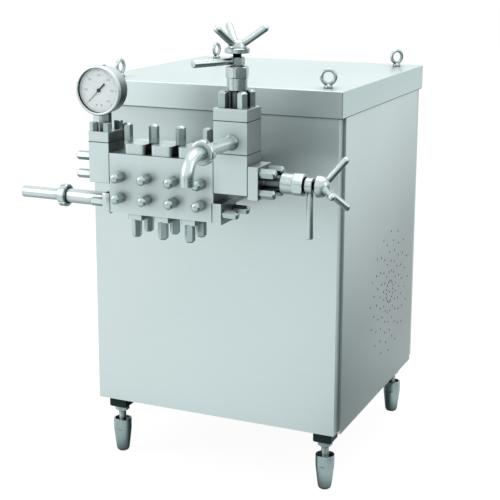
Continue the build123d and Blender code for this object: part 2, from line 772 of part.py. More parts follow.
with BuildPart() as bonnet_flange_2:
    with BuildSketch(right(second_start, tower_y, second_z)):
        Rectangle(tower_d, tower_d)
        Circle(rod_r + fit, mode=Mode.SUBTRACT)
    extrude(amount=flange_t - 2)
    chamfer(bonnet_flange_2.edges().filter_by(GeomType.LINE), 0.8)
    with BuildSketch(right(second_face, tower_y, second_z)):
        Circle(bonnet_neck_r)
        Circle(rod_r + fit, mode=Mode.SUBTRACT)
    extrude(amount=6)
save(bonnet_flange_2, "bonnet_flange_2")

with BuildPart() as bonnet_1:
    with Locations(top(tower_x, tower_y, tower_top)):
        add(bonnet_solid)
save(bonnet_1, "bonnet_1")

with BuildPart() as bonnet_2:
    with Locations(right(second_bonnet_start, tower_y, second_z)):
        add(bonnet_solid)
save(bonnet_2, "bonnet_2")

bonnet_len = neck_len + barrel_len + hex_len


def thrust_rod(below, length):
    """The rod that carries the valve disc: its disc reaches below the XY plane by the given depth."""
    with BuildPart() as rod:
        with BuildSketch(Plane.XY.offset(-below)):
            Circle(seat_r - 3)
        extrude(amount=disc_t)
        with BuildSketch(Plane.XY.offset(-below)):
            Circle(rod_r)
        extrude(amount=below + length)
    return rod.part


# Thrust rods, which slide but don't turn
rod_length = neck_len - 8.3
first_below = tower_top - (upper_z + seat_h + 0.3)
second_below = second_bonnet_start - (second_start - chamber + seat_h + 0.3)
with BuildPart() as thrust_rod_1:
    with Locations(top(tower_x, tower_y, tower_top)):
        add(thrust_rod(first_below, rod_length))
save(thrust_rod_1, "thrust_rod_1")

with BuildPart() as thrust_rod_2:
    with Locations(right(second_bonnet_start, tower_y, second_z)):
        add(thrust_rod(second_below, rod_length))
save(thrust_rod_2, "thrust_rod_2")


def jam_nut_with_lever(turn, is_round):
    """The lock nut over a bonnet, hexagonal or round, with a tapered lever standing out of it."""
    nose = bonnet_sink - 0.3
    with BuildPart() as nut:
        with BuildSketch(Plane.XY.offset(bonnet_len + jam_gap)):
            if is_round:
                Circle(collar_r)
            else:
                RegularPolygon(jam_af / 2, 6, major_radius=False)
        extrude(amount=jam_t)
        chamfer(nut.faces().filter_by(Axis.Z).edges(), 1)
        with BuildSketch(Plane.XY.offset(bonnet_len - nose)):
            Circle(screw_r + 3)
        extrude(amount=jam_gap + nose)
        reach = Plane(
            (0, 0, bonnet_len + jam_gap + jam_t / 2),
            x_dir=(0, 0, 1),
            z_dir=(cos(radians(turn)), sin(radians(turn)), 0),
        )
        with BuildSketch(reach.offset(jam_af / 2 - 2.5)):
            Circle(lever_root_r)
        with BuildSketch(reach.offset(jam_af / 2 + lever_len)):
            Circle(lever_end_r)
        loft()
        round_edges = nut.edges().filter_by(GeomType.CIRCLE)
        fillet([edge for edge in round_edges if abs(edge.radius - lever_end_r) < 0.01], 2)
        with BuildSketch():
            Circle(screw_r + screw_gap)
        extrude(amount=2 * bonnet_len, mode=Mode.SUBTRACT)
    return nut.part


# Lock nuts
with BuildPart() as lock_nut_1:
    with Locations(top(tower_x, tower_y, tower_top)):
        add(jam_nut_with_lever(first_lever_turn, False))
save(lock_nut_1, "lock_nut_1")

with BuildPart() as lock_nut_2:
    with Locations(right(second_bonnet_start, tower_y, second_z)):
        add(jam_nut_with_lever(second_lever_turn, True))
save(lock_nut_2, "lock_nut_2")


def handwheel(ring_r, turn, is_domed):
    """Three-armed handwheel with its screw, whose foot stands on the thrust rod."""
    ring_z = bonnet_len + jam_gap + jam_t + wheel_gap
    foot_z = neck_len - 8
    rise = arm_rise - 15
    run = arm_reach - 8
    rim_top, hub_top = ring_z + hub_t, ring_z + hub_h
    with BuildPart() as wheel:
        with BuildSketch(Plane.XY.offset(foot_z)):
            Circle(screw_r)
        extrude(amount=ring_z - foot_z)
        with BuildSketch(Plane.XZ):
            with BuildLine():
                if is_domed:
                    Polyline((0, hub_top), (0, ring_z), (ring_r, ring_z), (ring_r, ring_z + 4))
                    ThreePointArc((ring_r, ring_z + 4), (0.8 * ring_r, hub_top - 7), (0, hub_top))
                else:
                    rim = [(0, ring_z), (ring_r, ring_z), (ring_r, rim_top), (hub_small_r + 2, rim_top)]
                    nose = [(hub_small_r, hub_top - 3), (hub_small_r - 3, hub_top), (0, hub_top)]
                    Polyline(*rim, *nose, close=True)
            make_face()
        revolve(axis=Axis.Z)
        for arm in range(3):
            angle = radians(turn + 120 * arm)
            start = Vector(8 * cos(angle), 8 * sin(angle), ring_z + 15)
            along = Vector(run * cos(angle), run * sin(angle), rise)
            with BuildSketch(Plane(start, z_dir=along)):
                Circle(arm_r)
            extrude(amount=along.length)
            with Locations(start + along):
                Sphere(arm_r)
    return wheel.part


# Handwheels
with BuildPart() as handwheel_1:
    with Locations(top(tower_x, tower_y, tower_top)):
        add(handwheel(hub_r, first_arm_turn, False))
save(handwheel_1, "handwheel_1")

with BuildPart() as handwheel_2:
    with Locations(right(second_bonnet_start, tower_y, second_z)):
        add(handwheel(second_hub_r, second_arm_turn, True))
save(handwheel_2, "handwheel_2")

# Outlet pipe from the upper block's front
with BuildPart() as discharge_pipe:
    with BuildSketch(front(outlet_x, block_front, outlet_z)):
        Circle(outlet_r)
    extrude(amount=outlet_len)
    with BuildSketch(front(outlet_x, block_front, outlet_z)):
        Circle(outlet_r + 3)
    extrude(amount=8, taper=20)
    with BuildSketch(front(outlet_x, block_front - outlet_len + 8, outlet_z)):
        Circle(stub_r + 2)
    extrude(amount=8)
    with BuildSketch(front(outlet_x, block_front, outlet_z)):
        Circle(outlet_r - 2)
    extrude(amount=outlet_len, mode=Mode.SUBTRACT)
save(discharge_pipe, "discharge_pipe")

# Elbow: a collar in the union nut, a quarter bend and a short leg down
outlet_end = block_front - outlet_len
bend_y = outlet_end - elbow_run
with BuildPart() as discharge_elbow:
    with BuildLine():
        collar_run = Line(at(outlet_x, outlet_end, outlet_z), at(outlet_x, bend_y, outlet_z))
        bend_end = at(outlet_x, bend_y - elbow_r, outlet_z - elbow_r)
        TangentArc(collar_run @ 1, bend_end, tangent=collar_run % 1)
        Line(bend_end, at(outlet_x, bend_y - elbow_r, outlet_z - elbow_r - elbow_leg))
    with BuildSketch(front(outlet_x, outlet_end, outlet_z)):
        Circle(pipe_r)
        Circle(pipe_r - pipe_wall, mode=Mode.SUBTRACT)
    sweep()
    with BuildSketch(front(outlet_x, outlet_end, outlet_z)):
        Circle(stub_r + 2)
        Circle(pipe_r - pipe_wall, mode=Mode.SUBTRACT)
    extrude(amount=collar_t)
save(discharge_elbow, "discharge_elbow")

# Union nut of the outlet
with BuildPart() as discharge_union_nut:
    with Locations(rear(outlet_x, outlet_end - union_offset, outlet_z)):
        add(union_nut(pipe_r + 0.3, stub_r + 2.3))
save(discharge_union_nut, "discharge_union_nut")

# Plunger box: an open-topped splash housing between the block and the crankcase
box_len = case_front - block_end
box_wall = 10
with BuildPart() as plunger_box:
    with BuildSketch(front(block_x, case_front, (box_low + box_high) / 2)):
        Rectangle(box_w, box_high - box_low)
    extrude(amount=box_len)
    with BuildSketch(top(block_x, block_end + 30 + (box_len - 40) / 2, box_low + box_wall)):
        Rectangle(box_w - 2 * box_wall, box_len - 40)
    extrude(amount=box_high, mode=Mode.SUBTRACT)
    with BuildSketch(front(block_x, case_front, plunger_z)):
        with GridLocations(pitch, 1, 3, 1):
            Circle(plunger_r + 1)
    extrude(amount=box_len, mode=Mode.SUBTRACT)
    with BuildSketch(front(block_x, block_end + 30, plunger_z)):
        with GridLocations(pitch, 1, 3, 1):
            Circle(22)
    extrude(amount=22, mode=Mode.SUBTRACT)
save(plunger_box, "plunger_box")

# Packing glands round the plungers
with BuildPart() as plunger_glands:
    with BuildSketch(rear(block_x, block_end + 8, plunger_z)):
        with GridLocations(pitch, 1, 3, 1):
            Circle(22 - fit)
            Circle(plunger_r + fit, mode=Mode.SUBTRACT)
    extrude(amount=22)
    with BuildSketch(rear(block_x, block_end + 30, plunger_z)):
        with GridLocations(pitch, 1, 3, 1):
            RegularPolygon(24, 6, major_radius=False)
            Circle(plunger_r + fit, mode=Mode.SUBTRACT)
    extrude(amount=10)
save(plunger_glands, "plunger_glands")

# Crankcase with crosshead bores, crank chamber and bearing bores
case_low, case_high = shelf_top, 810
chamber_front, chamber_back = 150, 265
cross_r = 25
with BuildPart() as crankcase:
    with BuildSketch(front(block_x, case_back, (case_low + case_high) / 2)):
        Rectangle(case_w, case_high - case_low)
    extrude(amount=case_back - case_front)
    fillet(crankcase.edges().filter_by(Axis.X).sort_by(Axis.Z)[-2:].sort_by(Axis.Y)[-1:], 40)
    fillet(crankcase.edges().filter_by(Axis.Y), 8)
    with BuildSketch(right(block_x - case_w / 2 + 20, (chamber_front + chamber_back) / 2, plunger_z)):
        Rectangle(chamber_back - chamber_front, 120)
    extrude(amount=case_w - 40, mode=Mode.SUBTRACT)
    with BuildSketch(front(block_x, chamber_front + 1, plunger_z)):
        with GridLocations(pitch, 1, 3, 1):
            Circle(cross_r + fit)
    extrude(amount=chamber_front - 60 + 1, mode=Mode.SUBTRACT)
    with BuildSketch(front(block_x, chamber_front, plunger_z)):
        with GridLocations(pitch, 1, 3, 1):
            Circle(plunger_r + 1)
    extrude(amount=chamber_front - case_front, mode=Mode.SUBTRACT)
    with BuildSketch(right(block_x - case_w / 2, crank_y, plunger_z)):
        Circle(22)
    extrude(amount=case_w, mode=Mode.SUBTRACT)
save(crankcase, "crankcase")

# Plungers with their crossheads, each where its crank pin has carried it
crank_r = stroke / 2
for number in range(3):
    phase = crank_r * cos(radians(120 * number))
    with BuildPart() as plunger:
        with BuildSketch(rear(block_x + (number - 1) * pitch, block_front + 34 + phase, plunger_z)):
            Circle(plunger_r)
        extrude(amount=case_front + 78 - (block_front + 34))
        with BuildSketch(rear(block_x + (number - 1) * pitch, case_front + 76 + phase, plunger_z)):
            Circle(cross_r)
        extrude(amount=38)
    save(plunger, f"plunger_{number + 1}")

# Crankshaft with three pins a third of a turn apart
journal_r, pin_r, web_r = 21.9, 15, 38
with BuildPart() as crankshaft:
    with BuildSketch(right(block_x - case_w / 2 + 2, crank_y, plunger_z)):
        Circle(journal_r)
    extrude(amount=24)
    with BuildSketch(right(block_x + case_w / 2 - 26, crank_y, plunger_z)):
        Circle(journal_r)
    extrude(amount=26 + pulley_x - pulley_t / 2 - (block_x + case_w / 2))
    with BuildSketch(right(pulley_x - pulley_t / 2, crank_y, plunger_z)):
        Circle(18)
    extrude(amount=pulley_t)
    for number in range(3):
        x = block_x + (number - 1) * pitch
        angle = radians(120 * number)
        for web in (-24, 14):
            with BuildSketch(right(x + web, crank_y, plunger_z)):
                Circle(web_r)
            extrude(amount=10)
        pin_y = crank_y + crank_r * cos(angle)
        with BuildSketch(right(x - 14, pin_y, plunger_z + crank_r * sin(angle))):
            Circle(pin_r)
        extrude(amount=28)
    necks = (26 - case_w / 2, -pitch / 2 - 7, pitch / 2 - 7, pitch + 24)
    for x in (block_x + neck for neck in necks):
        with BuildSketch(right(x, crank_y, plunger_z)):
            Circle(18)
        extrude(amount=14)
save(crankshaft, "crankshaft")


def belt_pulley(radius, hole_r):
    """A two-groove belt pulley about the Z axis, in the middle of its width."""
    half = pulley_t / 2
    points = [(hole_r, -half), (radius, -half)]
    for groove in (-9, 9):
        points += [(radius, groove - 6), (radius - belt_t, groove - 4), (radius - belt_t, groove + 4)]
        points += [(radius, groove + 6)]
    points += [(radius, half), (hole_r, half)]
    with BuildPart() as pulley:
        with BuildSketch(Plane.XZ):
            with BuildLine():
                Polyline(*points, close=True)
            make_face()
        revolve(axis=Axis.Z)
    return pulley.part


# Large pulley on the crankshaft, with a dished web
with BuildPart() as drive_pulley:
    with Locations(right(pulley_x, crank_y, plunger_z)):
        add(belt_pulley(big_pulley_r, 18.05))
    for plane in (left(pulley_x - 9, crank_y, plunger_z), right(pulley_x + 9, crank_y, plunger_z)):
        with BuildSketch(plane):
            Circle(big_pulley_r - 24)
            Circle(34, mode=Mode.SUBTRACT)
        extrude(amount=pulley_t, mode=Mode.SUBTRACT)
save(drive_pulley, "drive_pulley")

# Motor pulley with the motor's shaft
motor_end = pulley_x - 50
with BuildPart() as motor_pulley:
    with Locations(right(pulley_x, motor_y, motor_z)):
        add(belt_pulley(small_pulley_r, 0))
    with BuildSketch(left(pulley_x, motor_y, motor_z)):
        Circle(14)
    extrude(amount=pulley_x - motor_end + 40)
save(motor_pulley, "motor_pulley")

# Motor: ribbed barrel, end bells, fan cowl, feet and terminal box
with BuildPart() as motor:
    with BuildSketch(left(motor_end, motor_y, motor_z)):
        Circle(motor_r - 10)
    extrude(amount=motor_len)
    with BuildSketch(left(motor_end - 30, motor_y, motor_z)):
        with PolarLocations(motor_r - 7, 24):
            Rectangle(12, 5)
    extrude(amount=motor_len - 90)
    with BuildSketch(left(motor_end - motor_len + 55, motor_y, motor_z)):
        Circle(motor_r)
    extrude(amount=60)
    with BuildSketch(top(motor_end - motor_len / 2, motor_y, rail_bottom + post)):
        with GridLocations(110, 150, 2, 2):
            Rectangle(40, 44)
    extrude(amount=14)
    with BuildSketch(top(motor_end - motor_len / 2, motor_y, rail_bottom + post)):
        with GridLocations(110, 126, 2, 2):
            Rectangle(40, 14)
    extrude(amount=50)
    with BuildSketch(top(motor_end - 90, motor_y, motor_z + motor_r - 20)):
        Rectangle(90, 90)
    extrude(amount=50)
    with BuildSketch(left(motor_end, motor_y, motor_z)):
        Circle(14 + fit)
    extrude(amount=60, mode=Mode.SUBTRACT)
save(motor, "motor")

# Two V-belts round both pulleys, as straight runs and wraps
gap = 0.3
with BuildPart() as drive_belts:
    for groove in (-9, 9):
        with BuildSketch(right(pulley_x + groove - 4, crank_y, plunger_z)):
            low = (motor_y - crank_y, motor_z - plunger_z)
            with BuildSketch(mode=Mode.PRIVATE) as outer:
                Circle(big_pulley_r - 1)
                with Locations(low):
                    Circle(small_pulley_r - 1)
                make_hull()
            with BuildSketch(mode=Mode.PRIVATE) as inner:
                Circle(big_pulley_r - belt_t + gap)
                with Locations(low):
                    Circle(small_pulley_r - belt_t + gap)
                make_hull()
            add(outer.sketch)
            add(inner.sketch, mode=Mode.SUBTRACT)
        extrude(amount=8)
save(drive_belts, "drive_belts")
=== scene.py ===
# %% [markdown]
# # A two-stage homogenizer, dressed over its solid model
#
# The solid model brings every part at its true size and place. These cells add what a
# solid model lacks: the grain of brushed sheet, rounded edges on turned parts, threads,
# the printed dial and the studio. First come the tools and the imported model. The
# finished object has to fit inside it.

# %% Tools and the imported model
import math

import bpy
from mathutils import Matrix, Vector


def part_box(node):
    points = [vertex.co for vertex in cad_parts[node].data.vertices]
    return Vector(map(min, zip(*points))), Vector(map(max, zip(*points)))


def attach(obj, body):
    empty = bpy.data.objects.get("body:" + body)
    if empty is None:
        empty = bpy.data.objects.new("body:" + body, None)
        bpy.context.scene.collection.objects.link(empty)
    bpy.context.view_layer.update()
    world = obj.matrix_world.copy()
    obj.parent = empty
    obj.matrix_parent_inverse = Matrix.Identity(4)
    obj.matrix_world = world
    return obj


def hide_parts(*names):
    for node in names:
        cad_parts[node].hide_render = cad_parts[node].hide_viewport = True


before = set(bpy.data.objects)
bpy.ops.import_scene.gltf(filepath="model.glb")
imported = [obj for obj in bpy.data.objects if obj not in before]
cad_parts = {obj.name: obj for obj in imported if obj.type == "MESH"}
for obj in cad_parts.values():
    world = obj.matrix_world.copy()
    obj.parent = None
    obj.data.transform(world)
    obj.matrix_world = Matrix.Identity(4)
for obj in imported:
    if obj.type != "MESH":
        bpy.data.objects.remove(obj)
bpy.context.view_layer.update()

# %% [markdown]
# ## The camera
#
# The photograph was taken from the front right, a little above the lid. Its lens and
# place were solved from the lid's corners, so the camera is set from numbers and not by
# eye. A small downward shift keeps the upright edges as they are in the photograph.

# %% Camera
cabinet = Vector((-0.01945, -0.08315, 0))
turn_left, tip_down, roll = 23.66, 12.16, 0.17
bpy.ops.object.camera_add(location=cabinet + Vector((1.1444, -2.3891, 1.2379)))
camera = bpy.context.object
facing = Matrix.Rotation(math.radians(turn_left), 4, "Z")
facing = facing @ Matrix.Rotation(math.radians(90 - tip_down), 4, "X")
facing = facing @ Matrix.Rotation(math.radians(roll), 4, "Z")
camera.rotation_euler = facing.to_euler()
camera.data.sensor_width = 36
camera.data.lens = 86.77
camera.data.shift_y = -0.1
camera.data.clip_end = 60
bpy.context.scene.camera = camera
print("camera", [round(v, 3) for v in camera.location], "lens", camera.data.lens)

# %% [markdown]
# ## Small helpers for placing things
#
# Most pieces stand on a side of a solid, so a helper gives the middle of any side of a
# node's box. A second one turns a piece that was made upright, on its local Z axis, so
# that it points the way it should. The move is then applied, so each object stays at the
# origin with its place in its mesh, and patterns on Object coordinates keep still.

# %% Placing helpers
MM = 0.001
UP, DOWN = Vector((0, 0, 1)), Vector((0, 0, -1))
RIGHT, LEFT = Vector((1, 0, 0)), Vector((-1, 0, 0))
BACK, FRONT = Vector((0, 1, 0)), Vector((0, -1, 0))


def side_middle(node, side):
    low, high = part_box(node)
    middle = (low + high) / 2
    reach = (high - low) / 2
    return middle + Vector((side.x * reach.x, side.y * reach.y, side.z * reach.z))


def apply_place(piece):
    bpy.ops.object.select_all(action="DESELECT")
    piece.select_set(True)
    bpy.context.view_layer.objects.active = piece
    bpy.ops.object.transform_apply(location=True, rotation=True, scale=True)


def point_along(piece, start, direction, turn=0):
    aim = direction.normalized()
    side = BACK if abs(aim.x) > 0.9 else RIGHT
    across = (side - aim * side.dot(aim)).normalized()
    frame_of_aim = Matrix((across, aim.cross(across), aim)).transposed().to_4x4()
    spin = Matrix.Rotation(math.radians(turn), 4, "Z")
    piece.matrix_world = Matrix.Translation(start) @ frame_of_aim @ spin
    apply_place(piece)
    return piece


def joined(pieces, name):
    bpy.ops.object.select_all(action="DESELECT")
    for piece in pieces:
        piece.select_set(True)
    bpy.context.view_layer.objects.active = pieces[0]
    if len(pieces) > 1:
        bpy.ops.object.join()
    pieces[0].name = name
    return pieces[0]


def copy_of(piece):
    twin = piece.copy()
    twin.data = piece.data.copy()
    bpy.context.collection.objects.link(twin)
    return twin


# %% [markdown]
# ## Turning a shape, as on a lathe
#
# Pipes, hubs, feet and nuts are all turned. A filled circle is extruded from one station
# to the next and scaled to that station's radius. With six sides the same helper gives a
# hexagon bar. Where a ring needs a hole right through, an open circle is carried round
# the whole outline and its ends are merged.

# %% Lathe helper


def turned(name, stations, sides=48, ring=False):
    height, radius = stations[0]
    bpy.ops.object.select_all(action="DESELECT")
    fill = "NOTHING" if ring else "NGON"
    bpy.ops.mesh.primitive_circle_add(vertices=sides, radius=radius * MM, fill_type=fill)
    piece = bpy.context.object
    piece.name = name
    bpy.ops.object.mode_set(mode="EDIT")
    bpy.ops.mesh.select_all(action="SELECT")
    bpy.ops.transform.translate(value=(0, 0, height * MM))
    for next_height, next_radius in stations[1:]:
        rise = (next_height - height) * MM
        bpy.ops.mesh.extrude_region_move(TRANSFORM_OT_translate={"value": (0, 0, rise)})
        grow = next_radius / radius
        middle = (0, 0, next_height * MM)
        bpy.ops.transform.resize(value=(grow, grow, 1), center_override=middle)
        height, radius = next_height, next_radius
    bpy.ops.mesh.select_all(action="SELECT")
    bpy.ops.mesh.remove_doubles(threshold=0.000001)
    bpy.ops.mesh.normals_make_consistent(inside=False)
    bpy.ops.object.mode_set(mode="OBJECT")
    return piece


def rounded(piece, width, segments=2, angle=35):
    bevel = piece.modifiers.new("edges", "BEVEL")
    bevel.width = width * MM
    bevel.segments = segments
    bevel.limit_method = "ANGLE"
    bevel.angle_limit = math.radians(angle)
    bpy.context.view_layer.objects.active = piece
    bpy.ops.object.modifier_apply(modifier=bevel.name)
    return piece


def cut(piece, tool, operation="DIFFERENCE"):
    boolean = piece.modifiers.new("cut", "BOOLEAN")
    boolean.operation = operation
    boolean.object = tool
    boolean.solver = "EXACT"
    bpy.context.view_layer.objects.active = piece
    bpy.ops.object.modifier_apply(modifier=boolean.name)
    bpy.data.objects.remove(tool)
    return piece


def hexagon(af):
    return af / math.sqrt(3)


# %% [markdown]
# ## Helpers for shader nodes
#
# A finish is a small graph of nodes. A node has settings, such as the operation of a Math
# node, and inputs that take a value or the output of an earlier node. Written out, that
# is four or five lines a node. These helpers make a node and fill it in one go, so that a
# finish reads as a list of steps.

# %% Shader nodes


def fill(node, inputs):
    for name, value in inputs.items():
        if isinstance(value, bpy.types.NodeSocket):
            node.id_data.links.new(value, node.inputs[name])
        else:
            node.inputs[name].default_value = value
    return node


def add_node(nodes, kind, inputs, **settings):
    node = nodes.new("ShaderNode" + kind)
    for name, value in settings.items():
        setattr(node, name, value)
    return fill(node, inputs)


def noise(nodes, place, **inputs):
    return add_node(nodes, "TexNoise", {"Vector": place, **inputs}).outputs["Fac"]


def calculated(nodes, operation, *values):
    return add_node(nodes, "Math", dict(enumerate(values)), operation=operation).outputs[0]


def mapped(nodes, value, source, target, kind="LINEAR"):
    names = ("Value", "From Min", "From Max", "To Min", "To Max")
    inputs = dict(zip(names, (value, *source, *target)))
    return add_node(nodes, "MapRange", inputs, interpolation_type=kind).outputs["Result"]


def mixed(nodes, kind, factor, first, second):
    inputs = {"Factor": factor, "A": first, "B": second}
    return add_node(nodes, "Mix", inputs, data_type=kind).outputs["Result"]


def mixed_shader(nodes, factor, first, second):
    return add_node(nodes, "MixShader", {"Fac": factor, 1: first, 2: second}).outputs["Shader"]


def scaled(nodes, colour, factor):
    inputs = {0: colour, "Scale": factor}
    return add_node(nodes, "VectorMath", inputs, operation="SCALE").outputs["Vector"]


def colour_ramp(nodes, value, stops):
    node = add_node(nodes, "ValToRGB", {"Fac": value})
    elements = node.color_ramp.elements
    elements[0].position, elements[1].position = stops[0][0], stops[-1][0]
    for place, _ in stops[1:-1]:
        elements.new(place)
    for element, (_, colour) in zip(elements, stops):
        element.color = (*colour, 1)
    return node.outputs["Color"]


def relief(nodes, height, strength, distance):
    inputs = {"Height": height, "Strength": strength, "Distance": distance}
    return add_node(nodes, "Bump", inputs).outputs["Normal"]


def new_material(name):
    material = bpy.data.materials.new(name)
    material.use_nodes = True
    nodes = material.node_tree.nodes
    return material, nodes, nodes["Principled BSDF"]


# %% [markdown]
# ## Brushed stainless steel
#
# Sheet steel is brushed in one direction, so its grain is a noise that is stretched
# along the stroke. The same noise drives a slight change of colour, of roughness and of
# height, and a second, much larger noise adds the faint clouds of a wiped surface. The
# base colour is a cool grey that leans to green, as in the photograph.
#
# Two painted shades darken it further. Ambient occlusion paints a soft shadow into the
# colour where pieces meet, and faces that look down are painted darker, since little
# light comes up from a floor.

# %% Brushed steel
GRAIN = {"X": (6, 900, 900), "Y": (900, 6, 900), "Z": (900, 900, 6), "": (260, 260, 260)}
CLOUD_SHARE = 0.45
CORNER_REACH = 45 * MM


def steel(name, light, dark, grain, rough=(0.28, 0.42), bump=0.06, shade=None):
    material, nodes, shader = new_material(name)
    place = add_node(nodes, "TexCoord", {}).outputs
    stretch = add_node(nodes, "Mapping", {"Vector": place["Object"], "Scale": GRAIN[grain]})
    strokes = noise(nodes, stretch.outputs["Vector"], Scale=1.0, Detail=4.0, Roughness=0.7)
    clouds = noise(nodes, place["Object"], Scale=3.0, Detail=3.0)
    both = mixed(nodes, "FLOAT", CLOUD_SHARE, strokes, clouds)
    tone = colour_ramp(nodes, both, ((0.3, dark), (0.7, light)))
    # Painted shade: ambient occlusion darkens the colour where pieces meet.
    corners = {"Color": tone, "Distance": CORNER_REACH}
    colour = add_node(nodes, "AmbientOcclusion", corners, samples=8).outputs["Color"]
    facing = add_node(nodes, "SeparateXYZ", {"Vector": place["Normal"]}).outputs
    # Painted shade: faces that look down are darkened.
    colour = scaled(nodes, colour, mapped(nodes, facing["Z"], (-0.95, -0.2), (0.25, 1.0)))
    if shade:
        colour = scaled(nodes, colour, soft_shade(nodes, place, facing, *shade))
    gloss = mapped(nodes, both, (0.3, 0.7), rough)
    height = relief(nodes, strokes, bump, 0.4 * MM)
    fill(shader, {"Metallic": 1.0, "Base Color": colour, "Roughness": gloss, "Normal": height})
    return material


# %% [markdown]
# ## Broad dark reflections
#
# A flat sheet mirrors the room, so the photograph shows broad soft bands on the panel and
# on the lid. More screens round the machine could make them, but each screen darkens
# every other face as well. A soft shade is simpler: on the faces of one side only, it
# paints shade into the steel's colour, from a start point to an end point. It is fixed to
# the object, so it stays the same from every view.

# %% Soft shade


def soft_shade(nodes, place, facing, start, end, depth, side):
    run = Vector(end) - Vector(start)
    aim = {0: place["Object"], 1: run / run.length_squared}
    along = add_node(nodes, "VectorMath", aim, operation="DOT_PRODUCT").outputs["Value"]
    offset = Vector(start).dot(run) / run.length_squared
    fade = mapped(nodes, along, (offset, offset + 1), (1.0, depth), "SMOOTHSTEP")
    squareness = calculated(nodes, "ABSOLUTE", facing[side])
    return mixed(nodes, "FLOAT", mapped(nodes, squareness, (0.5, 0.95), (0, 1)), 1.0, fade)


# Each shade is: start, end, what is left at the end, and the axis its faces look along.
# Painted reflections: the front panel darkens towards its upper right, the lid towards its
# right.
panel_shade = ((0.05, -0.08, 0.66), (0.11, -0.08, 0.82), 0.84, "Y")
lid_shade = ((-0.26, -0.08, 0.89), (0.22, -0.08, 0.83), 0.7, "Y")
# Painted shade: the side panels darken towards the bottom.
side_shade = ((0.29, -0.1, 0.85), (0.29, 0.05, 0.3), 0.5, "X")
# Painted shade: every face that looks along X, on the blocks and plates, is dimmed to half.
end_shade = ((0, 0, -2), (0, 0, -1), 0.5, "X")
# Painted shade: the gauge case's side darkens towards its lower right.
case_shade = ((-0.159, -0.3, 0.955), (-0.125, -0.3, 0.92), 0.2, "X")

# %% [markdown]
# ## One steel for each kind of piece
#
# Sheet, ground blocks, turned bar, polished tube and feet were all worked in their own
# way, so each gets its own lightness, grain and gloss. Sheet has its strokes along X or
# Z. Turned and polished pieces have no direction that shows at this size, so their grain
# is the same all round.

# %% The steels
front_steel = steel(
    "brushed_front_sheet", (0.78, 0.83, 0.83), (0.71, 0.77, 0.77), "X", shade=panel_shade
)
panel_steel = steel("brushed_panel_sheet", (0.70, 0.76, 0.76), (0.62, 0.69, 0.69), "X")
lid_steel = steel(
    "brushed_lid_sheet", (0.84, 0.90, 0.90), (0.77, 0.84, 0.84), "X", shade=lid_shade
)
# Painted light: the side sheet is the front's steel made lighter.
side_sheet_painted_light = steel(
    "brushed_side_sheet", (0.93, 0.96, 0.96), (0.87, 0.91, 0.91), "Z", shade=side_shade
)
block_steel = steel(
    "ground_faces", (0.78, 0.84, 0.84), (0.70, 0.77, 0.77), "Z", (0.3, 0.45), shade=end_shade
)
cover_steel = steel(
    "ground_plates", (0.78, 0.84, 0.84), (0.68, 0.75, 0.75), "X", shade=end_shade
)
nut_steel = steel(
    "polished_cap_nuts", (0.64, 0.71, 0.71), (0.50, 0.58, 0.58), "", (0.24, 0.36), 0.02
)
pipe_steel = steel(
    "polished_tube", (0.76, 0.82, 0.82), (0.66, 0.73, 0.73), "", (0.2, 0.32), 0.02
)
turned_steel = steel(
    "turned_bar", (0.72, 0.78, 0.78), (0.58, 0.65, 0.65), "", (0.22, 0.34), 0.03
)
foot_steel = steel(
    "turned_feet", (0.62, 0.70, 0.70), (0.46, 0.54, 0.54), "", (0.26, 0.4), 0.03
)
frame_steel = steel("mill_finish_tube", (0.40, 0.45, 0.45), (0.30, 0.34, 0.35), "Z", (0.4, 0.6))
socket_steel = steel(
    "dark_socket_steel", (0.04, 0.06, 0.06), (0.02, 0.035, 0.035), "", (0.35, 0.5)
)
# A dark copy of the steel, as painted shade: on the bonnet necks and sunk faces, and in the
# strip under the lid.
painted_shade_steel = steel(
    "painted_shadow_steel", (0.26, 0.32, 0.33), (0.18, 0.23, 0.24), "", (0.35, 0.5), 0.02
)
case_steel = steel(
    "satin_case", (0.80, 0.85, 0.85), (0.73, 0.79, 0.79), "", (0.35, 0.5), 0.02, case_shade
)
bezel_steel = steel(
    "satin_gauge_case", (0.80, 0.85, 0.85), (0.73, 0.79, 0.79), "", (0.4, 0.52), 0.02
)
thread_steel = steel("oiled_thread", (0.06, 0.07, 0.07), (0.03, 0.035, 0.04), "", (0.3, 0.5))
print("steels", [m.name for m in bpy.data.materials if m.use_nodes])

# %% [markdown]
# ## Paint, castings, rubber, bronze and glass
#
# The inside of the cabinet holds a painted crankcase and motor, iron pulleys and rubber
# belts. Paint on a casting is slightly pebbled, so one helper makes all the finishes
# that aren't bare steel, with its own noise for colour, gloss and height.

# %% Other finishes


def coat(name, light, dark, metallic, rough, size, bump):
    material, nodes, shader = new_material(name)
    grain = noise(
        nodes, add_node(nodes, "TexCoord", {}).outputs["Object"], Scale=size, Detail=5.0
    )
    colour = colour_ramp(nodes, grain, ((0.35, dark), (0.65, light)))
    gloss = mapped(nodes, grain, (0, 1), rough)
    height = relief(nodes, grain, bump, 0.5 * MM)
    fill(shader, {"Metallic": metallic, "Base Color": colour})
    fill(shader, {"Roughness": gloss, "Normal": height})
    return material


casting_paint = coat(
    "painted_casting", (0.24, 0.29, 0.31), (0.19, 0.23, 0.25), 0.0, (0.4, 0.6), 180, 0.3
)
motor_paint = coat(
    "motor_enamel", (0.13, 0.24, 0.36), (0.10, 0.19, 0.30), 0.0, (0.3, 0.5), 220, 0.2
)
pulley_iron = coat(
    "machined_iron", (0.30, 0.31, 0.32), (0.22, 0.23, 0.24), 0.9, (0.35, 0.55), 300, 0.15
)
belt_rubber = coat(
    "belt_rubber", (0.035, 0.035, 0.037), (0.02, 0.02, 0.022), 0.0, (0.6, 0.8), 500, 0.4
)
gland_bronze = coat(
    "gland_bronze", (0.62, 0.45, 0.22), (0.50, 0.35, 0.16), 1.0, (0.25, 0.4), 300, 0.05
)
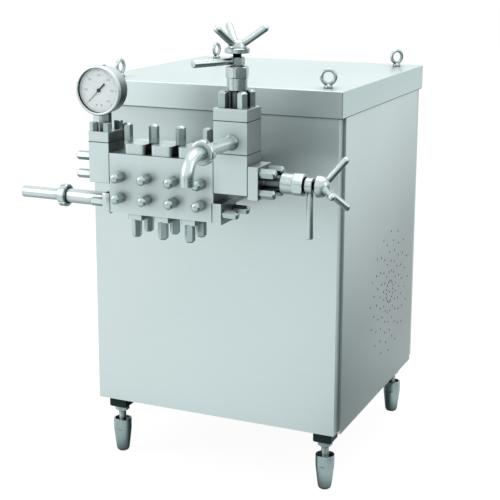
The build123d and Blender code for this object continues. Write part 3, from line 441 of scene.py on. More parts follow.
# Painted shadow, for the slabs in the grooves between plates.
seam_dark = coat(
    "shadow_joint", (0.03, 0.045, 0.045), (0.02, 0.03, 0.03), 0.0, (0.7, 0.9), 300, 0.05
)
dial_enamel = coat(
    "dial_enamel", (0.94, 0.96, 0.96), (0.91, 0.93, 0.93), 0.0, (0.45, 0.55), 120, 0.02
)
dial_ink = coat("dial_ink", (0.34, 0.38, 0.39), (0.28, 0.32, 0.33), 0.0, (0.5, 0.6), 400, 0.02)
needle_black = coat(
    "needle_black", (0.012, 0.014, 0.016), (0.008, 0.01, 0.012), 0.0, (0.4, 0.5), 400, 0.05
)

# %% [markdown]
# The gauge's window is nearly clear. Its index of refraction is set low, because light
# that bends in a thin pane would only shift the dial, and a fine noise stands for dust.

# %% Window glass
gauge_glass, nodes, pane = new_material("gauge_glass")
dust = noise(nodes, add_node(nodes, "TexCoord", {}).outputs["Object"], Scale=90)
fill(pane, {"Base Color": (0.97, 0.99, 0.99, 1), "Transmission Weight": 1.0, "IOR": 1.1})
fill(pane, {"Roughness": mapped(nodes, dust, (0, 1), (0.0, 0.06))})
print("finishes", len(bpy.data.materials))

# %% [markdown]
# ## Finishes on the solids that stay
#
# Flat plates, blocks and panels are already right in the solid model, so they keep their
# meshes and only get a finish. Everything round is made again further down, with finer
# curves and softened edges.

# %% Finishes on the solids
solid_finish = {
    "front_panel": front_steel,
    "rear_panel": panel_steel,
    "left_side_panel": side_sheet_painted_light,
    "right_side_panel": side_sheet_painted_light,
    "top_lid": lid_steel,
    "pump_block": block_steel,
    "lower_valve_block": block_steel,
    "upper_valve_block": block_steel,
    "gauge_block": block_steel,
    "plunger_box": block_steel,
    "valve_covers": cover_steel,
    "bottom_plates": cover_steel,
    "suction_end_cover": cover_steel,
    "gauge_flange": cover_steel,
    "bonnet_flange_1": cover_steel,
    "bonnet_flange_2": cover_steel,
    "base_frame": frame_steel,
    "foot_sockets": socket_steel,
    "crankcase": casting_paint,
    "motor": motor_paint,
    "drive_pulley": pulley_iron,
    "motor_pulley": pulley_iron,
    "drive_belts": belt_rubber,
    "plunger_glands": gland_bronze,
    "gauge_dial": dial_enamel,
    "gauge_window": gauge_glass,
}
for node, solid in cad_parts.items():
    finish = solid_finish.get(node, turned_steel)
    solid.data.materials.clear()
    solid.data.materials.append(finish)


def hand_over(piece, body, material, angle=30):
    piece.data.materials.clear()
    piece.data.materials.append(material)
    bpy.ops.object.select_all(action="DESELECT")
    piece.select_set(True)
    bpy.context.view_layer.objects.active = piece
    bpy.ops.object.shade_smooth_by_angle(angle=math.radians(angle))
    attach(piece, body)
    print(piece.name, "rides on", body, "faces", len(piece.data.polygons))
    return piece


# %% [markdown]
# ## Domed cap nuts
#
# Long cap nuts close every stud, so that no thread can hold milk. A real one is cut from
# hexagon bar and its end is turned to a dome, which rounds the corners off in curves. An
# upright hexagon is made first, and only what lies inside a turned dome is kept. One nut
# of each size is modelled and then copied to its places.

# %% Cap nuts


def cap_nut(af, length):
    corner = hexagon(af)
    flat = af / 2
    nut = turned("hexagon_bar", [(0, corner), (length, corner)], sides=6)
    dome = [(-1, flat), (0, flat + 0.2), (0.9, corner), (length - 5.5, corner)]
    dome += [(length - 4.2, flat + 0.4), (length - 3.2, flat * 0.94)]
    dome += [(length - 1.6, flat * 0.82), (length - 0.5, flat * 0.62), (length, flat * 0.4)]
    envelope = turned("dome", dome, sides=48)
    return cut(nut, envelope, "INTERSECT")


block_low, block_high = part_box("pump_block")
block_middle = (block_low + block_high) / 2
pitch = 62 * MM
flange_stud = 26.5 * MM
inlet_height, inlet_plate = 697 * MM, 18 * MM
short_nuts = []
front_nut = cap_nut(af=19, length=31)
for step in (-1.5, -0.5, 0.5, 1.5):
    for height in (757, 713):
        spot = Vector((block_middle.x + step * pitch, block_low.y, height * MM))
        short_nuts.append(point_along(copy_of(front_nut), spot, FRONT, 17 * step))
side_nut = cap_nut(af=17, length=34)
for shift in (-flange_stud, flange_stud):
    spot = side_middle("suction_end_cover", RIGHT) + BACK * shift
    short_nuts.append(point_along(copy_of(side_nut), spot, RIGHT, 12))
    spot = Vector((block_low.x - inlet_plate, block_middle.y + shift, inlet_height))
    short_nuts.append(point_along(copy_of(side_nut), spot, LEFT, 12))
gauge_nut = cap_nut(af=17, length=43)
gauge_side = side_middle("gauge_block", LEFT)
for height in (752, 791):
    spot = Vector((gauge_side.x, gauge_side.y - 10 * MM, height * MM))
    short_nuts.append(point_along(copy_of(gauge_nut), spot, LEFT, 20))
for pattern in (front_nut, side_nut, gauge_nut):
    bpy.data.objects.remove(pattern)
short_cap_nuts = joined(short_nuts, "domed_short_nuts")
hand_over(short_cap_nuts, "machine", nut_steel)
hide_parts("short_cap_nuts")

tall_nuts = []
cover_nut = cap_nut(af=19, length=40)
covers_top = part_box("valve_covers")[1].z
for step in (-1.5, -0.5, 0.5, 1.5):
    spot = Vector((block_middle.x + step * pitch, block_middle.y - 3 * MM, covers_top))
    tall_nuts.append(point_along(copy_of(cover_nut), spot, UP, 8 * step))
plate_nut = cap_nut(af=19, length=38)
plates_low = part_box("bottom_plates")[0].z
for step in (-1, 0, 1):
    for shift in (-flange_stud, flange_stud):
        spot = Vector((block_middle.x + step * pitch, block_middle.y + shift, plates_low))
        tall_nuts.append(point_along(copy_of(plate_nut), spot, DOWN, 10 * step))
flange_nut = cap_nut(af=19, length=34)
first_flange_top = side_middle("bonnet_flange_1", UP)
flange_depth, bonnet_stud = 23 * MM, 20.5
second_flange_face = side_middle("bonnet_flange_2", LEFT) + RIGHT * flange_depth
for across in (-bonnet_stud, bonnet_stud):
    for along in (-bonnet_stud, bonnet_stud):
        spot = first_flange_top + Vector((across, along, 0)) * MM
        tall_nuts.append(point_along(copy_of(flange_nut), spot, UP, across))
        spot = second_flange_face + Vector((0, across, along)) * MM
        tall_nuts.append(point_along(copy_of(flange_nut), spot, RIGHT, along))
for pattern in (cover_nut, plate_nut, flange_nut):
    bpy.data.objects.remove(pattern)
tall_cap_nuts = joined(tall_nuts, "domed_tall_nuts")
hand_over(tall_cap_nuts, "machine", nut_steel)
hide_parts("tall_cap_nuts")
print("cap nuts", len(short_nuts), len(tall_nuts))

# %% [markdown]
# ## Lifting eyes
#
# Each corner of the lid has a forged eye for the lifting sling. The ring is a torus, and
# its foot widens into a collar that presses on the sheet. The four stand at different
# angles, because each was simply turned until it was tight.

# %% Lifting eyes
eye_parts = []
ring_height, ring_radius, ring_wire = 24 * MM, 15 * MM, 4 * MM
collar_profile = [(0, 9.4), (1, 10), (4, 9.6), (6.4, 8), (7.6, 6.2), (9, 5)]
for across, along, turn in ((-256, 56, 88), (258, 54, 20), (-248, 562, 84), (256, 562, 50)):
    foot = cabinet + Vector((across * MM, along * MM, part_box("top_lid")[1].z))
    bpy.ops.object.select_all(action="DESELECT")
    bpy.ops.mesh.primitive_torus_add(
        major_radius=ring_radius, minor_radius=ring_wire, major_segments=40, minor_segments=16
    )
    ring = bpy.context.object
    across_ring = Vector((-math.sin(math.radians(turn)), math.cos(math.radians(turn)), 0))
    point_along(ring, foot + UP * ring_height, across_ring)
    collar = turned("collar", collar_profile, sides=32)
    eye_parts += [ring, point_along(collar, foot, UP)]
lifting_eyes = joined(eye_parts, "lifting_eyes")
hand_over(lifting_eyes, "machine", nut_steel, 50)
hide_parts("eye_bolts")

# %% [markdown]
# ## Levelling feet
#
# The feet are long bullets with two wrench flats near the top and a sunk shoulder round
# the spindle. The taper and the rounded tip are turned, and the flats are cut with two
# blocks. Each foot rides on its own body, because it turns on its thread.

# %% Levelling feet


def foot_bar():
    profile = [(0, 7), (0.8, 11), (3, 13.8), (6, 15.2), (9, 16), (57, 21.7), (83.4, 22)]
    profile += [(84, 21.6), (84, 18), (79, 17), (79, 9)]
    for step in range(14):
        profile += [(80 + 2 * step, 9), (81 + 2 * step, 8.3)]
    profile += [(108, 9), (147.9, 9)]
    foot = turned("foot", profile, sides=64)
    for side in (-1, 1):
        bpy.ops.object.select_all(action="DESELECT")
        bpy.ops.mesh.primitive_cube_add(size=1, location=(0, side * 23.4 * MM, 71 * MM))
        block = bpy.context.object
        block.scale = (0.06, 8 * MM, 27 * MM)
        apply_place(block)
        cut(foot, block)
    return rounded(foot, 0.4, 1, 50)


foot_pattern = foot_bar()
for node, body in (
    ("foot_front_left", "foot_fl"),
    ("foot_front_right", "foot_fr"),
    ("foot_rear_left", "foot_rl"),
    ("foot_rear_right", "foot_rr"),
):
    foot = point_along(copy_of(foot_pattern), side_middle(node, DOWN), UP)
    foot.name = "turned_" + node
    hand_over(foot, body, foot_steel, 30)
    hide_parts(node)
bpy.data.objects.remove(foot_pattern)

# %% [markdown]
# ## Bonnets over the two valve stages
#
# A bonnet has a slim neck, a turned barrel and a hexagon for the spanner, with a sunk
# face on top where the screw goes in. The neck and the sunk face are dark steel: painted
# shade. The hexagon is wider than the barrel, so its corners are turned off at the
# barrel's size and show as flats with rounded ends.

# %% Bonnets


def bonnet():
    barrel = [(32, 18.2), (34.5, 20.8), (58.4, 20.8), (59.2, 20.2), (59.6, 19.4)]
    barrel = turned("barrel", barrel, sides=64)
    head = turned("head", [(59, hexagon(43)), (81, hexagon(43))], sides=6)
    trim = [(58, 21.2), (60.4, 23.3), (79, 23.3), (81, 21.4), (81, 16.8), (76, 16.4), (76, 12)]
    cut(head, turned("trim", trim, sides=64), "INTERSECT")
    return joined([barrel, head], "bonnet")


def bonnet_core():
    neck = turned("neck", [(0, 15), (32.5, 15)], sides=64)
    sunk_face = [(76.1, 9.2), (76.1, 16.5), (76, 16.5), (76, 9.2), (76.1, 9.2)]
    well = turned("well", sunk_face, ring=True)
    return joined([neck, well], "bonnet_core")


bonnet_pattern, core_pattern = bonnet(), bonnet_core()
for node, name, side, aim in (
    ("bonnet_1", "upright_bonnet", DOWN, UP),
    ("bonnet_2", "level_bonnet", LEFT, RIGHT),
):
    body = point_along(copy_of(bonnet_pattern), side_middle(node, side), aim, 10)
    body.name = name
    hand_over(body, "machine", turned_steel)
    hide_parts(node)
    # The neck and the sunk face: dark steel, painted shade.
    core = point_along(copy_of(core_pattern), side_middle(node, side), aim)
    core.name = name + "_core"
    hand_over(core, "machine", painted_shade_steel)
bpy.data.objects.remove(bonnet_pattern)
bpy.data.objects.remove(core_pattern)

# %% [markdown]
# ## Lock nuts with their levers
#
# A lock nut holds each setting. It is a chamfered hexagon with a tapered lever screwed
# into one flat. The lever is thinner at its root and ends in a rounded tip.

# %% Lock nuts


def lock_nut(lever_turn, is_round):
    if is_round:
        rim = [(83.5, 14.8), (84.7, 16), (98.3, 16), (99.5, 14.8), (99.5, 9.1)]
        nut = turned("nut", rim, sides=64)
    else:
        nut = turned("nut", [(83.5, hexagon(27)), (99.5, hexagon(27))], sides=6)
        trim = turned("trim", [(83.4, 13.4), (85, 15.8), (98, 15.8), (99.6, 13.4)], sides=48)
        cut(nut, trim, "INTERSECT")
    boss = turned("boss", [(76.4, 12), (83.6, 12)], sides=48)
    taper = [(12, 5.9), (13.6, 6.5), (60, 7.2), (105.5, 7.85)]
    tip = [(107.2, 7.5), (108.2, 6.5), (108.5, 4.8)]
    lever = turned("lever", taper + tip, sides=32)
    aim = Vector((math.cos(math.radians(lever_turn)), math.sin(math.radians(lever_turn)), 0))
    lever_height = UP * 91.5 * MM
    point_along(lever, lever_height, aim)
    return joined([nut, boss, lever], "lock_nut")


upright_base = side_middle("bonnet_1", DOWN)
level_base = side_middle("bonnet_2", LEFT)
upright_lock = point_along(lock_nut(242, False), upright_base, UP)
upright_lock.name = "upright_lock_nut"
hand_over(upright_lock, "lock_1", turned_steel)
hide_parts("lock_nut_1")
level_lock = point_along(lock_nut(270, True), level_base, RIGHT)
level_lock.name = "level_lock_nut"
hand_over(level_lock, "lock_2", turned_steel)
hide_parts("lock_nut_2")

# %% [markdown]
# ## Handwheels and their screws
#
# Each wheel is a small turned hub with three arms that lean out and up, so that a wet
# hand can pull on them. The screw below it is dark with grease. Its thread is drawn as
# closely spaced ridges, which at this size look the same as a true helix.

# %% Handwheels


STEPPED_HUB = [(107.5, 23.8), (108.3, 25), (116, 25), (117.3, 23.6), (118.4, 18.6), (124, 17.6)]
STEPPED_HUB += [(129, 15.8), (132, 13), (133.4, 9), (133.5, 5)]
DOMED_HUB = [(107.5, 21), (108.4, 22), (111.5, 22), (117, 21.4), (122, 20), (126.5, 17.4)]
DOMED_HUB += [(130, 13.4), (132.1, 9), (133.2, 4.5), (133.5, 1.2)]


def hub_and_arms(hub, turn):
    parts = [turned("hub", hub, sides=64)]
    for arm in range(3):
        angle = math.radians(turn + 120 * arm)
        outward = Vector((math.cos(angle), math.sin(angle), 0))
        start = (outward * 8 + UP * 122.5) * MM
        reach = outward * 48 + UP * 34
        length = reach.length
        bar = [(0, 6.8), (12, 7.1), (length - 1, 7.4), (length + 2.5, 7.05)]
        bar += [(length + 5, 5.4), (length + 6.6, 3.1), (length + 7.3, 1)]
        parts.append(point_along(turned("arm", bar, sides=32), start, reach))
    return joined(parts, "handwheel")


def screw():
    thread = [(24.5, 7), (26, 8.9)]
    for step in range(40):
        thread += [(27 + 2 * step, 8.95), (28 + 2 * step, 8.1)]
    return turned("screw", thread + [(107.6, 8.6)], sides=32)


for name, base, direction, hub, turn, body, node in (
    ("upright", upright_base, UP, STEPPED_HUB, 11, "wheel_1", "handwheel_1"),
    ("level", level_base, RIGHT, DOMED_HUB, 67, "wheel_2", "handwheel_2"),
):
    wheel = point_along(hub_and_arms(hub, turn), base, direction)
    wheel.name = name + "_handwheel"
    hand_over(wheel, body, turned_steel)
    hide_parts(node)
    spindle = point_along(screw(), base, direction)
    spindle.name = name + "_screw"
    hand_over(spindle, body, thread_steel)

# %% [markdown]
# ## Union nuts
#
# A milk union is undone by hand or with a hook spanner, so its nut is round with four
# notches. The nut is a real ring, with a lip that pulls on the collar of the pipe.

# %% Union nuts


def union_nut():
    outline = [(0, 13.1), (0, 21), (0.8, 23), (3, 24.5), (15, 24.5), (17.2, 23), (18, 21)]
    outline += [(18, 17.9), (6, 17.9), (6, 13.1), (0, 13.1)]
    nut = turned("union_nut", outline, sides=64, ring=True)
    for notch in range(4):
        angle = math.radians(90 * notch + 30)
        tool = turned("notch", [(-2, 3), (20, 3)], sides=24)
        tool.location = (24.6 * MM * math.cos(angle), 24.6 * MM * math.sin(angle), 0)
        apply_place(tool)
        cut(nut, tool)
    return nut


inlet_nut = point_along(union_nut(), side_middle("inlet_union_nut", LEFT), RIGHT)
inlet_nut.name = "notched_inlet_nut"
hand_over(inlet_nut, "inlet_union", turned_steel)
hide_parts("inlet_union_nut")
outlet_nut = point_along(union_nut(), side_middle("discharge_union_nut", FRONT), BACK)
outlet_nut.name = "notched_outlet_nut"
hand_over(outlet_nut, "outlet_union", turned_steel)
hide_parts("discharge_union_nut")

# %% [markdown]
# ## Pipes
#
# The outlet pipe leaves the tower from a small weld bead and ends in a collar. After the
# union an elbow turns down. Its tube is an open ring of edges that is extruded, spun
# through a quarter turn and extruded again, and then given a real wall, so that its end
# shows an open bore.

# %% Outlet pipe and elbow
outlet_root = side_middle("discharge_pipe", BACK)
bead = [(0, 15.8), (1, 16), (3, 15.3), (6, 13.8), (8.6, 13)]
pipe_end = [(115.5, 13), (116, 16.8), (116.6, 17.4), (123.9, 17.4), (123.9, 11.4), (90, 11.4)]
outlet_pipe = turned("outlet_pipe", bead + pipe_end, sides=48)
point_along(outlet_pipe, outlet_root, FRONT)
hand_over(outlet_pipe, "machine", pipe_steel)
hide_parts("discharge_pipe")


def open_tube(radius, run):
    bpy.ops.object.select_all(action="DESELECT")
    bpy.ops.mesh.primitive_circle_add(vertices=48, radius=radius * MM, fill_type="NOTHING")
    tube = bpy.context.object
    bpy.ops.object.mode_set(mode="EDIT")
    bpy.ops.mesh.select_all(action="SELECT")
    bpy.ops.mesh.extrude_region_move(TRANSFORM_OT_translate={"value": (0, 0, run * MM)})
    return tube


def give_wall(tube, thickness):
    bpy.ops.mesh.select_all(action="SELECT")
    bpy.ops.mesh.remove_doubles(threshold=0.00001)
    bpy.ops.mesh.normals_make_consistent(inside=False)
    bpy.ops.object.mode_set(mode="OBJECT")
    wall = tube.modifiers.new("wall", "SOLIDIFY")
    wall.thickness = thickness * MM
    wall.offset = -1
    bpy.context.view_layer.objects.active = tube
    bpy.ops.object.modifier_apply(modifier=wall.name)
    return tube


tube_radius, tube_wall = 12.7, 1.5
straight, bend, tail_run = 32, 38 * MM, 15 * MM
elbow = open_tube(tube_radius, straight)
bend_middle = (0, -bend, straight * MM)
bpy.ops.mesh.spin(steps=14, angle=math.radians(-90), center=bend_middle, axis=(1, 0, 0))
bpy.ops.mesh.extrude_region_move(TRANSFORM_OT_translate={"value": (0, -tail_run, 0)})
give_wall(elbow, tube_wall)
collar_outline = [(0, 12.6), (0, 17), (0.5, 17.5), (4.5, 17.5), (5, 17), (5, 12.6), (0, 12.6)]
collar = turned("collar", collar_outline, sides=48, ring=True)
elbow = joined([elbow, collar], "outlet_elbow")
point_along(elbow, side_middle("discharge_pipe", FRONT), FRONT)
hand_over(elbow, "elbow", pipe_steel)
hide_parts("discharge_elbow")

# %% [markdown]
# ## Inlet
#
# The feed enters at the lower left through a flanged stub. The flange is a thick plate
# with softened edges, held by two cap nuts, and the tube beyond it carries the union.

# %% Inlet stub and pipe
stub_low, stub_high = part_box("inlet_stub")
bpy.ops.object.select_all(action="DESELECT")
bpy.ops.mesh.primitive_cube_add(size=1)
flange = bpy.context.object
stub_middle = (stub_low + stub_high) / 2
flange.scale = (inlet_plate, 75 * MM, 44 * MM)
flange.location = (stub_high.x - inlet_plate / 2, stub_middle.y, stub_middle.z)
apply_place(flange)
rounded(flange, 0.9, 2)
inlet_face = Vector((stub_high.x - inlet_plate, stub_middle.y, stub_middle.z))
stub_profile = [(0, 18), (1, 18.3), (2.6, 17.3), (4, 15.8), (5, 15.5)]
stub_profile += [(111.9, 15.5), (111.9, 12.6), (60, 12.6)]
stub = point_along(turned("stub", stub_profile), inlet_face, LEFT)
inlet_stub = joined([flange, stub], "flanged_inlet_stub")
hand_over(inlet_stub, "machine", pipe_steel)
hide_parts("inlet_stub")

inlet_tube = open_tube(tube_radius, 107)
give_wall(inlet_tube, tube_wall)
collar = turned("collar", collar_outline, sides=48, ring=True)
inlet_tube = joined([inlet_tube, collar], "inlet_tube")
point_along(inlet_tube, side_middle("inlet_pipe", RIGHT), LEFT)
hand_over(inlet_tube, "machine", pipe_steel)
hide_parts("inlet_pipe")

# %% [markdown]
# ## Pressure gauge
#
# The gauge is a steel case with a rolled bezel, a hexagon for the spanner and a small
# plug on top. The dial is white enamel with grey print, and the needle is black with a
# broad tail. The numbers are plain hundreds from zero to six hundred.

# %% Gauge case and bezel
gauge_back = side_middle("gauge_case", BACK)
dial_height, stem_foot = 933.5 * MM, 848.5 * MM
gauge_middle = Vector((gauge_back.x, gauge_back.y, dial_height))
cup = [(0, 20), (0, 44), (0.5, 46), (1.6, 47.7), (4, 49)]
cup += [(39.9, 49), (39.9, 47.1), (35, 47.1), (35, 5)]
case = point_along(turned("case", cup, sides=96), gauge_middle, FRONT)
stem = gauge_middle + Vector((0, -13 * MM, stem_foot - gauge_middle.z))
socket = turned("socket", [(0, hexagon(23)), (39, hexagon(23))], sides=6)
chamfers = [(-0.1, 11.7), (1.6, 13.4), (38, 13.4), (39.1, 12)]
cut(socket, turned("trim", chamfers, sides=48), "INTERSECT")
plug = turned("plug", [(133.5, 3.2), (135.6, 3.4), (136.6, 2.8), (137, 1.6)], sides=24)
case = joined([case, point_along(socket, stem, UP), point_along(plug, stem, UP)], "gauge_cup")
hand_over(case, "machine", case_steel)
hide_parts("gauge_case")

rolled = [(35, 49.2), (35, 51.4), (35.8, 52.3), (41.4, 52.3), (43.2, 51.6), (44.2, 50)]
rolled += [(44.4, 48.2), (44, 47), (43.4, 46.5), (42.2, 46.5), (42.2, 47.8), (40, 47.8)]
rolled += [(40, 49.2), (35, 49.2)]
bezel = point_along(turned("rolled_bezel", rolled, sides=96, ring=True), gauge_middle, FRONT)
hand_over(bezel, "machine", bezel_steel, 50)
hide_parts("gauge_bezel")

# %% [markdown]
# The ticks, the numbers and the two small dots are thin raised print on the dial. Each
# tick is a flat strip, and every number is a text object that is turned into a mesh.

# %% Dial print
dial_face = gauge_middle + FRONT * 36.05 * MM
zero_angle, sweep, tick_end = 225, 270, 44
print_parts = []
for tick in range(61):
    angle = math.radians(zero_angle - sweep / 60 * tick)
    if tick % 10 == 0:
        inner, width = 38.6, 0.9
    elif tick % 5 == 0:
        inner, width = 40.2, 0.5
    else:
        inner, width = 41.6, 0.35
    outward = Vector((math.cos(angle), 0, math.sin(angle)))
    bpy.ops.object.select_all(action="DESELECT")
    bpy.ops.mesh.primitive_plane_add(size=1)
    strip = bpy.context.object
    strip.scale = ((tick_end - inner) * MM, width * MM, 1)
    strip.rotation_euler = (math.pi / 2, 0, 0)
    apply_place(strip)
    middle = dial_face + outward * (tick_end + inner) / 2 * MM
    strip.matrix_world = Matrix.Translation(middle) @ Matrix.Rotation(-angle, 4, "Y")
    apply_place(strip)
    print_parts.append(strip)


def printed(words, size, right, up):
    bpy.ops.object.select_all(action="DESELECT")
    bpy.ops.object.text_add()
    text = bpy.context.object
    text.data.body = words
    text.data.size = size * MM
    text.data.align_x = "CENTER"
    text.data.align_y = "CENTER"
    text.rotation_euler = (math.pi / 2, 0, 0)
    text.location = dial_face + Vector((right * MM, 0, up * MM))
    bpy.ops.object.convert(target="MESH")
    apply_place(bpy.context.object)
    return bpy.context.object


number_radius, number_size = 31, 6.4
for number in range(7):
    angle = math.radians(zero_angle - sweep / 6 * number)
    right, up = number_radius * math.cos(angle), number_radius * math.sin(angle)
    print_parts.append(printed(str(100 * number), number_size, right, up))
for right in (-5.8, 5.8):
    dot = turned("dot", [(0, 1.7), (0.3, 1.5)], sides=20)
    print_parts.append(point_along(dot, dial_face + Vector((right * MM, 0, -30.5 * MM)), FRONT))
dial_print = joined(print_parts, "dial_print")
hand_over(dial_print, "machine", dial_ink)

# %% [markdown]
# The needle is stiff sheet: a slender tapered blade, a round hub and a broad tail that
# balances it. It rests on zero, at the lower left.

# %% Needle
needle_axis = gauge_middle + FRONT * 37.8 * MM
toward_zero = Vector((-1, 0, -1)).normalized()
blade = turned("blade", [(0, 0.95), (36, 0.3)], sides=4)
point_along(blade, needle_axis, toward_zero, 45)
tail = turned("tail", [(0, 1.1), (6, 1.7), (19.5, 2.0)], sides=4)
point_along(tail, needle_axis, -toward_zero, 45)
boss = turned("boss", [(-1, 4), (0.9, 4), (1.4, 3.4), (1.4, 1)], sides=40)
point_along(boss, needle_axis, FRONT)
needle = joined([blade, tail, boss], "needle")
hand_over(needle, "pointer", needle_black)
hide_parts("gauge_pointer")

# %% [markdown]
# ## Hexagon nuts on the gauge flange and the feet
#
# Four low nuts hold the gauge flange, and a lock nut sits on each foot's spindle. Both
# are cut from hexagon bar and chamfered.

# %% Small hexagon nuts
flange_top = side_middle("gauge_flange", UP)
low_nut = turned("low_nut", [(0, hexagon(17)), (18.6, hexagon(17))], sides=6)
chamfers = [(-0.1, 9), (0.8, 9.9), (16.6, 9.9), (18.7, 8)]
cut(low_nut, turned("trim", chamfers, sides=48), "INTERSECT")
low_nuts = []
for across in (-15, 15):
    for along in (-25, 25):
        spot = flange_top + Vector((across * MM, along * MM, 0))
        low_nuts.append(point_along(copy_of(low_nut), spot, UP, 3 * across))
bpy.data.objects.remove(low_nut)
gauge_nuts = joined(low_nuts, "gauge_flange_nuts")
hand_over(gauge_nuts, "machine", nut_steel)
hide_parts("gauge_bolts")

thin_nut = turned("thin_nut", [(107, hexagon(30)), (118, hexagon(30))], sides=6)
chamfers = [(106.9, 15), (108.4, 17.4), (116.6, 17.4), (118.1, 15)]
cut(thin_nut, turned("trim", chamfers), "INTERSECT")
cut(thin_nut, turned("hole", [(100, 9.15), (120, 9.15)], sides=40))
foot_nuts = []
for node in ("foot_front_left", "foot_front_right", "foot_rear_left", "foot_rear_right"):
    foot_nuts.append(point_along(copy_of(thin_nut), side_middle(node, DOWN), UP))
bpy.data.objects.remove(thin_nut)
foot_nuts = joined(foot_nuts, "foot_nuts")
hand_over(foot_nuts, "machine", foot_steel)
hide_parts("foot_lock_nuts")

# %% [markdown]
# ## Dark joints between the plates
#
# Where two ground plates meet, their chamfers leave a groove that reads as a dark line.
# A thin dark slab lies in each joint, as wide as the smaller plate. The lid gets a strip
# of dark steel under its rim, above the panels: painted shadow under the lid's edge.

# %% Joints


def slab(low, high):
    bpy.ops.object.select_all(action="DESELECT")
    bpy.ops.mesh.primitive_cube_add(size=1, location=(low + high) / 2)
    piece = bpy.context.object
    piece.scale = high - low
    apply_place(piece)
    return piece


def joint_between(first, second, axis):
    first_low, first_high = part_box(first)
    second_low, second_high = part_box(second)
    proud, half_gap = Vector((1, 1, 1)) * 0.05 * MM, 0.9 * MM
    low = Vector(map(max, first_low, second_low)) - proud
    high = Vector(map(min, first_high, second_high)) + proud
    joint = (low[axis] + high[axis]) / 2
    low[axis], high[axis] = joint - half_gap, joint + half_gap
    return slab(low, high)


# Each slab is painted shadow: the dark of the groove, made as a thin part.
joints = [
    joint_between("upper_valve_block", "bonnet_flange_1", 2),
    joint_between("lower_valve_block", "upper_valve_block", 2),
    joint_between("gauge_block", "gauge_flange", 2),
    joint_between("gauge_block", "pump_block", 0),
    joint_between("pump_block", "lower_valve_block", 0),
    joint_between("pump_block", "suction_end_cover", 0),
    joint_between("pump_block", "inlet_stub", 0),
    joint_between("lower_valve_block", "bonnet_flange_2", 0),
]
for step in (-1, 0, 1):
    middle = Vector((block_middle.x + step * pitch, block_middle.y, block_high.z))
    for half in (Vector((25.05, 25, 0.6)), Vector((15, 35.05, 0.6))):
        joints.append(slab(middle - half * MM, middle + half * MM))
    for across in (-15, 15):
        for along in (-25, 25):
            corner = turned("corner", [(-0.6, 10.05), (0.6, 10.05)], sides=40)
            joints.append(point_along(corner, middle + Vector((across, along, 0)) * MM, UP))
    plate, half = Vector((middle.x, middle.y, block_low.z)), Vector((15, 35.05, 0.6))
    joints.append(slab(plate - half * MM, plate + half * MM))
plate_joints = joined(joints, "plate_joints")
hand_over(plate_joints, "machine", seam_dark)

# The strip of painted shadow lies just inside the lid's edge, all round.
lid_low, lid_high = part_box("top_lid")
rim_low = lid_low + Vector((1.6, 1.6, -2.4)) * MM
rim_high = lid_high - Vector((1.6, 1.6, 0)) * MM
rim_high.z = lid_low.z
front_width, side_width = 2.4 * MM, 1.2 * MM
strips = [
    slab(rim_low, Vector((rim_high.x, rim_low.y + front_width, rim_high.z))),
    slab(Vector((rim_low.x, rim_high.y - front_width, rim_low.z)), rim_high),
    slab(rim_low, Vector((rim_low.x + side_width, rim_high.y, rim_high.z))),
    slab(Vector((rim_high.x - side_width, rim_low.y, rim_low.z)), rim_high),
]
painted_lid_shadow = joined(strips, "painted_lid_shadow")
hand_over(painted_lid_shadow, "machine", painted_shade_steel)

# %% [markdown]
# ## Studio floor
#
# The photograph is cut out on white, with soft light from all round. The camera sees a
# floor that mostly glows white, and keeps a faint shadow of the feet. Steel mirrors the
# floor as well, and what it mirrors gives it its tone. So glossy rays see another floor,
# which glows as a painted reflection: its tone changes with the direction from the
# machine, in a ramp that goes once round.

# %% Floor
bpy.ops.object.select_all(action="DESELECT")
bpy.ops.mesh.primitive_plane_add(size=24, location=(0, 0, -0.0005))
floor = bpy.context.object
floor.name = "studio_floor"
floor_paint, nodes, matt = new_material("studio_floor_paint")
fill(matt, {"Base Color": (0.8, 0.82, 0.82, 1), "Roughness": 0.9})
matt = matt.outputs["BSDF"]
glow = add_node(nodes, "Emission", {"Color": (1, 1, 1, 1), "Strength": 1.15})
to_eye = mixed_shader(nodes, 0.82, matt, glow.outputs["Emission"])
place = add_node(nodes, "TexCoord", {}).outputs["Object"]
on_floor = add_node(nodes, "SeparateXYZ", {"Vector": place}).outputs
heading = calculated(nodes, "ARCTAN2", on_floor["Y"], on_floor["X"])
# Painted reflection: the tone that the steel mirrors in each direction from the machine.
tones_around = (
    (0.0, (0.78, 0.86, 0.86)),
    (0.13, (0.88, 0.95, 0.95)),
    (0.20, (0.82, 0.90, 0.90)),
    (0.29, (0.74, 0.83, 0.83)),
    (0.36, (0.12, 0.17, 0.17)),
    (0.50, (0.04, 0.07, 0.07)),
    (0.58, (0.10, 0.15, 0.15)),
    (0.63, (0.42, 0.51, 0.51)),
    (0.68, (0.76, 0.84, 0.84)),
    (0.80, (0.76, 0.84, 0.84)),
    (1.0, (0.78, 0.86, 0.86)),
)
around = colour_ramp(
    nodes, mapped(nodes, heading, (-math.pi, math.pi), (0, 1)), tones_around
)

# %% [markdown]
# Two soft-edged layers lie over that ramp, for what the steel mirrors from near by. Both
# are painted shade, since a glowing floor takes no shadow. The floor round the feet is a
# little dimmer, and the floor under the cabinet is nearly black, a painted shadow, which
# gives the feet and the lowest edge of the panels their dark foot.

# %% Floor near the machine


def within(socket, middle, inner, outer):
    off = calculated(nodes, "ABSOLUTE", calculated(nodes, "SUBTRACT", socket, middle))
    return mapped(nodes, off, (inner, outer), (1.0, 0.0), "SMOOTHSTEP")


def layer(under, tint, reach_x, reach_y):
    across = within(on_floor["X"], -0.02, *reach_x)
    along = within(on_floor["Y"], 0.23, *reach_y)
    return mixed(nodes, "RGBA", calculated(nodes, "MULTIPLY", across, along), under, (*tint, 1))


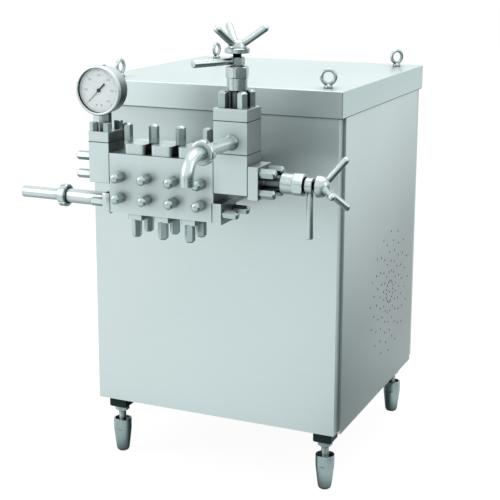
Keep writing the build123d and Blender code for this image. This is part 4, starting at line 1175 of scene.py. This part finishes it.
# Painted shade round the feet, and painted shadow under the cabinet.
feet_ring_painted_shade = layer(around, (0.55, 0.64, 0.64), (0.42, 0.52), (0.48, 0.62))
machine_footprint_painted_shadow = layer(feet_ring_painted_shade, (0.03, 0.05, 0.05), (0.24, 0.33), (0.22, 0.36))
mirrored = add_node(nodes, "Emission", {"Color": machine_footprint_painted_shadow}).outputs["Emission"]
ray = add_node(nodes, "LightPath", {}).outputs
to_steel = mixed_shader(nodes, ray["Is Glossy Ray"], matt, mirrored)
blend = mixed_shader(nodes, ray["Is Camera Ray"], to_steel, to_eye)
fill(nodes["Material Output"], {"Surface": blend})
floor.data.materials.append(floor_paint)
print("floor nodes", len(nodes))

# %% [markdown]
# ## A dark screen
#
# Polished bar needs something dark to mirror, or it looks like plaster. A dark cloth
# stands at the front left, outside the picture, and draws a dark stripe on every pipe
# and lever.

# %% Dark screen
bpy.ops.object.select_all(action="DESELECT")
bpy.ops.mesh.primitive_plane_add(size=1, location=(-1.75, -5.2, 0.3))
screen = bpy.context.object
screen.name = "dark_screen"
screen.scale = (1.7, 0.7, 1)
screen.rotation_euler = (math.pi / 2, 0, math.radians(-18))
apply_place(screen)
screen_cloth = coat(
    "screen_cloth", (0.10, 0.14, 0.14), (0.07, 0.10, 0.10), 0.0, (0.8, 0.9), 60, 0.1
)
screen.data.materials.append(screen_cloth)
print("screen", [round(v, 2) for v in screen.dimensions])

# %% [markdown]
# ## The world
#
# The world is white to the camera and through glass, and dimmer as a lamp, so that pale
# steel keeps its tone. To glossy rays it is a room: light on the left, dark on the right
# and pale overhead. That is why the side panel is darker than the front one.

# %% World
world = bpy.data.worlds.new("studio_world")
bpy.context.scene.world = world
world.use_nodes = True
nodes = world.node_tree.nodes
plain = fill(nodes["Background"], {"Color": (1, 1, 1, 1), "Strength": 0.55})
white = add_node(nodes, "Background", {"Color": (1, 1, 1, 1), "Strength": 1.0})
aim = add_node(nodes, "TexCoord", {}).outputs["Generated"]
split = add_node(nodes, "SeparateXYZ", {"Vector": aim}).outputs
wall_tones = (
    (0.2, (0.80, 0.88, 0.88)),
    (0.42, (0.52, 0.62, 0.62)),
    (0.72, (0.34, 0.45, 0.45)),
    (0.9, (0.05, 0.09, 0.09)),
)
walls = colour_ramp(nodes, mapped(nodes, split["X"], (-1, 1), (0, 1)), wall_tones)
height = mapped(nodes, split["Z"], (0.0, 0.14), (0, 1))
room_tone = mixed(nodes, "RGBA", height, walls, (0.93, 0.99, 0.99, 1))
room = add_node(nodes, "Background", {"Color": room_tone, "Strength": 1.0})
plain, white, room = (node.outputs["Background"] for node in (plain, white, room))
ray = add_node(nodes, "LightPath", {}).outputs
shown = mixed_shader(nodes, ray["Is Glossy Ray"], plain, room)
shown = mixed_shader(nodes, ray["Is Transmission Ray"], shown, white)
shown = mixed_shader(nodes, ray["Is Camera Ray"], shown, white)
fill(nodes["World Output"], {"Surface": shown})
print("world nodes", len(nodes))

# %% [markdown]
# ## Lamps
#
# Three large soft boxes give the light: the strongest at the front left, a weak one on
# the right and one overhead. Their size keeps every shadow soft, as in the photograph.

# %% Lamps


def lamp(name, place, target, width, height, power):
    bpy.ops.object.light_add(type="AREA", location=place)
    light = bpy.context.object
    light.name = name
    light.data.shape = "RECTANGLE"
    light.data.size = width
    light.data.size_y = height
    light.data.energy = power
    light.rotation_euler = (Vector(target) - Vector(place)).to_track_quat("-Z", "Y").to_euler()
    print(name, "watts", power)


machine_middle = (0, 0, 0.6)
lamp("left_softbox", (-2.6, -2.2, 2.2), machine_middle, 1.8, 2.2, 32)
lamp("right_softbox", (3.2, -0.4, 2.0), machine_middle, 1.6, 2.0, 8)
lamp("overhead", (0.2, 0.4, 3.4), machine_middle, 2.4, 2.4, 26)

# %% [markdown]
#
# The Standard view shows colours as they are, so white stays white.

bpy.context.scene.view_settings.view_transform = "Standard"
